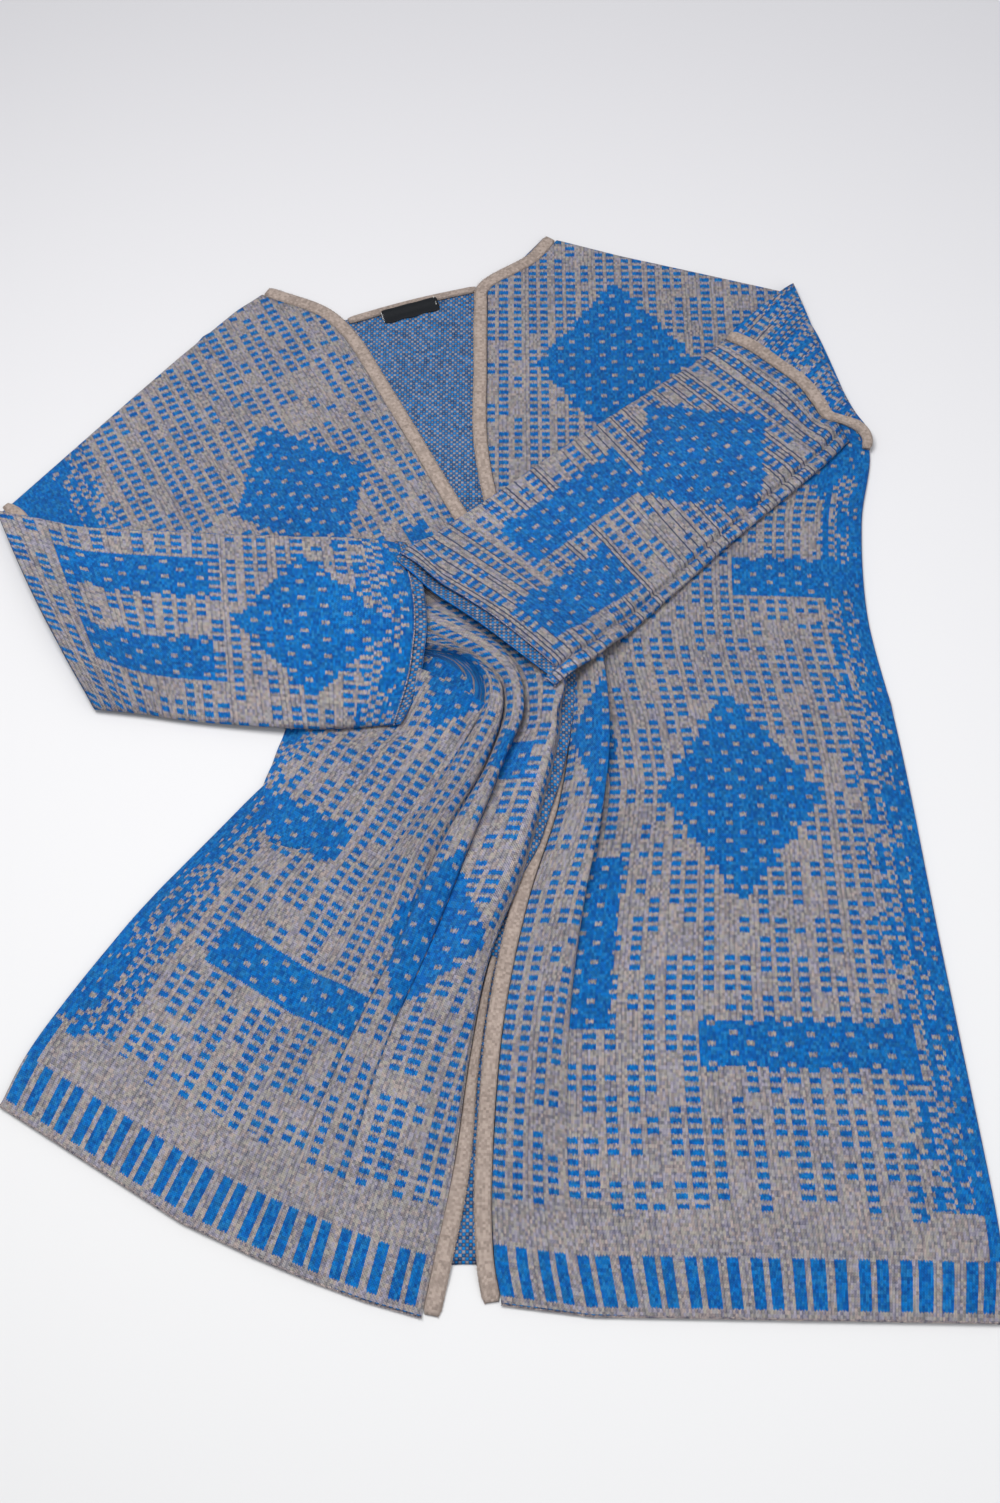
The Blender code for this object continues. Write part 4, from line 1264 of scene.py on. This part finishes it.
def layBackAndLabel(cloths, pile):
    back = backPanel(backOutline, backSpec, [cloths["purl"], cloths["back"]])
    settle(back, ["back_panel"])
    pile.layOutline(backOutline, 2.0)
    neckTop = layBand("backNeckBand", "back_neck_band", neckBand, pile, cloths, [back], reach=3.0, cut=0.0086)
    sewn = pile.copy()
    sewn.layGrid(neckTop)
    label, labelTop = labelPiece(labelSpec, sewn, cloths["label"])
    settle(label, ["neck_label"])
    return back, labelTop


def frontCloth(spec, edge, pile, seed, folds):
    # The front's plan, stitches and upper face, and that face without its folds.
    plan, lift, uv = frontSurface(spec, edge)
    ground = pile.under(plan, frontShape["reach"]) + gap
    high = ground + lift + clothWall + unevenness(plan, seed, 0.5) * 0.6 + softFolds(plan, folds)
    return plan, uv, withHeight(plan, high), withHeight(plan, ground + clothWall)


def layLeftFront(cloths, back, pile):
    edge = bandLine(frontBands["left"], -0.5, -gap)
    _, uv, top, flat = frontCloth(leftFront, edge, pile, 3, softFront["left"])
    points, uv = wrapEdges(top, uv, ("top", "right"))
    points, uv = wrapEdges(points, uv, ("bottom",), hemRoll)
    front = sheetMesh("frontLeft", [(points, uv, False, False)], [cloths["left"], cloths["purl"]])
    giveWall(front, clothWall)
    settle(front, ["front_left"])
    bandTop = layBand("frontBandLeft", "front_band_left", frontBands["left"], pile, cloths, [back])
    pile.layGrid(flat)
    pile.layGrid(bandTop)
    return front, top, bandTop, points[[-4, -3]]


def layRightFront(cloths, pile):
    edge = bandLine(frontBands["right"], 0.5, gap)
    plan, uv, top, _ = frontCloth(rightFront, edge, pile, 4, softFront["right"])
    flatEnd = rightFront["lines"]["side"][0] + 1
    points, uv = wrapEdges(top, clothFoldedAway(foldedFlap, plan, uv, flatEnd), ("top", "left"))
    points, uv = wrapEdges(points, uv, ("bottom",), hemRoll)
    flap, flapUv = flapGrid(foldedFlap, top, flatEnd)
    flap, flapUv = wrapEdges(flap, flapUv, ("top", "right"), foldedFlap["roll"])
    front = sheetMesh("frontRight", [(points, uv, False, False), (flap, flapUv, False, False)],
                      [cloths["right"], cloths["purl"]])
    giveWall(front, clothWall)
    settle(front, ["front_right"])
    return front, top, points[[-4, -3]]


def layTurnedEdge(cloths, pile):
    strip = turnedStrip(turnedEdge, pile)
    points, uv = wrapEdges(strip, strip[..., :2], ("right",), turnedEdge["roll"])
    piece = sheetMesh("frontRightTurnedEdge", [(points, uv, False, False)], [cloths["purl"], cloths["right"]])
    giveWall(piece, turnedEdge["wall"])
    settle(piece, [])


def laySleeve(name, node, spec, pile, cloths, cloth, seam=None, flip=False):
    sleeve, top, length, around = sleevePiece(name, spec, pile, [cloths[cloth], cloths["purl"]], seam, flip)
    settle(sleeve, [node])
    return top


def sewTrim(cloths, hems, cuffs, joins, labelTop):
    # Loops along hem and cuffs, a chain beside each band, and the label's end stitches.
    tree = edgeYarnTree()
    above = np.array((0.0, 0.0, 0.15))
    ends = [[labelTop[int(down * 8), int(across * 24)] for across, down in places]
            for places in labelSpec["stitches"]]
    for (name, (cloth, slot, changes)), paths in zip(trimSpec.items(), (hems, cuffs, joins, ends)):
        sewEdges(name, tree, [np.asarray(path) + above for path in paths], cloths[cloth], changes)


def build():
    makeCamera(cameraSpec)
    makeLamps(lampSpec, airSpec)
    makeTable(tableSpec)
    bpy.context.scene.view_settings.view_transform = "Standard"
    cloths = makeCloths()

    pile = Pile()
    back, labelTop = layBackAndLabel(cloths, pile)
    bareBack = pile.copy()
    left, leftTop, leftBandTop, leftHem = layLeftFront(cloths, back, pile)
    right, rightTop, rightHem = layRightFront(cloths, pile)
    layTurnedEdge(cloths, pile)
    pile.layGrid(leftTop)

    turned = turnback(turnedShoulder, pile, [cloths["turned"], cloths["purl"]])
    settle(turned, ["shoulder_turnback_left"])
    armTopLeft = layBand("armholeBandLeft", "armhole_band_left", armBands["left"], pile, cloths, [left],
                         armBands["turnedWall"], width=0.014)
    per = frontShape["rowsAGap"]
    upperTop = layBand("frontBandRightUpper", "front_band_right_upper", frontBands["right"], pile, cloths,
                       [left], rows=slice(0, 3 * per + 1))
    lowerTop = layBand("frontBandRightLower", "front_band_right_lower", frontBands["right"], bareBack, cloths,
                       [back], rows=slice(8 * per, None))
    pile.layGrid(rightTop)
    pile.layGrid(upperTop)
    armTop = layBand("armholeBandRight", "armhole_band_right", armBands["right"], pile, cloths, [right])
    pile.layGrid(armTop)

    rightSleeveTop = laySleeve("sleeveRight", "sleeve_right", rightSleeve, pile, cloths, "rightSleeve",
                               flip=True)
    pile.layGrid(rightSleeveTop)
    seam = bandLine(armBands["left"], 0.5, 1.0)
    seam = np.vstack([seam[seam[:, 0] < leftSleeve["corner"][0] - 8], [leftSleeve["corner"]]])
    leftSleeveTop = laySleeve("sleeveLeft", "sleeve_left", leftSleeve, pile, cloths, "leftSleeve",
                              seam)
    sewTrim(cloths, [*leftHem, *rightHem], [rightSleeveTop[-1], leftSleeveTop[-1]],
            [armTopLeft[:, -1], leftBandTop[:, -1], upperTop[:, 0], lowerTop[:, 0]], labelTop)


build()
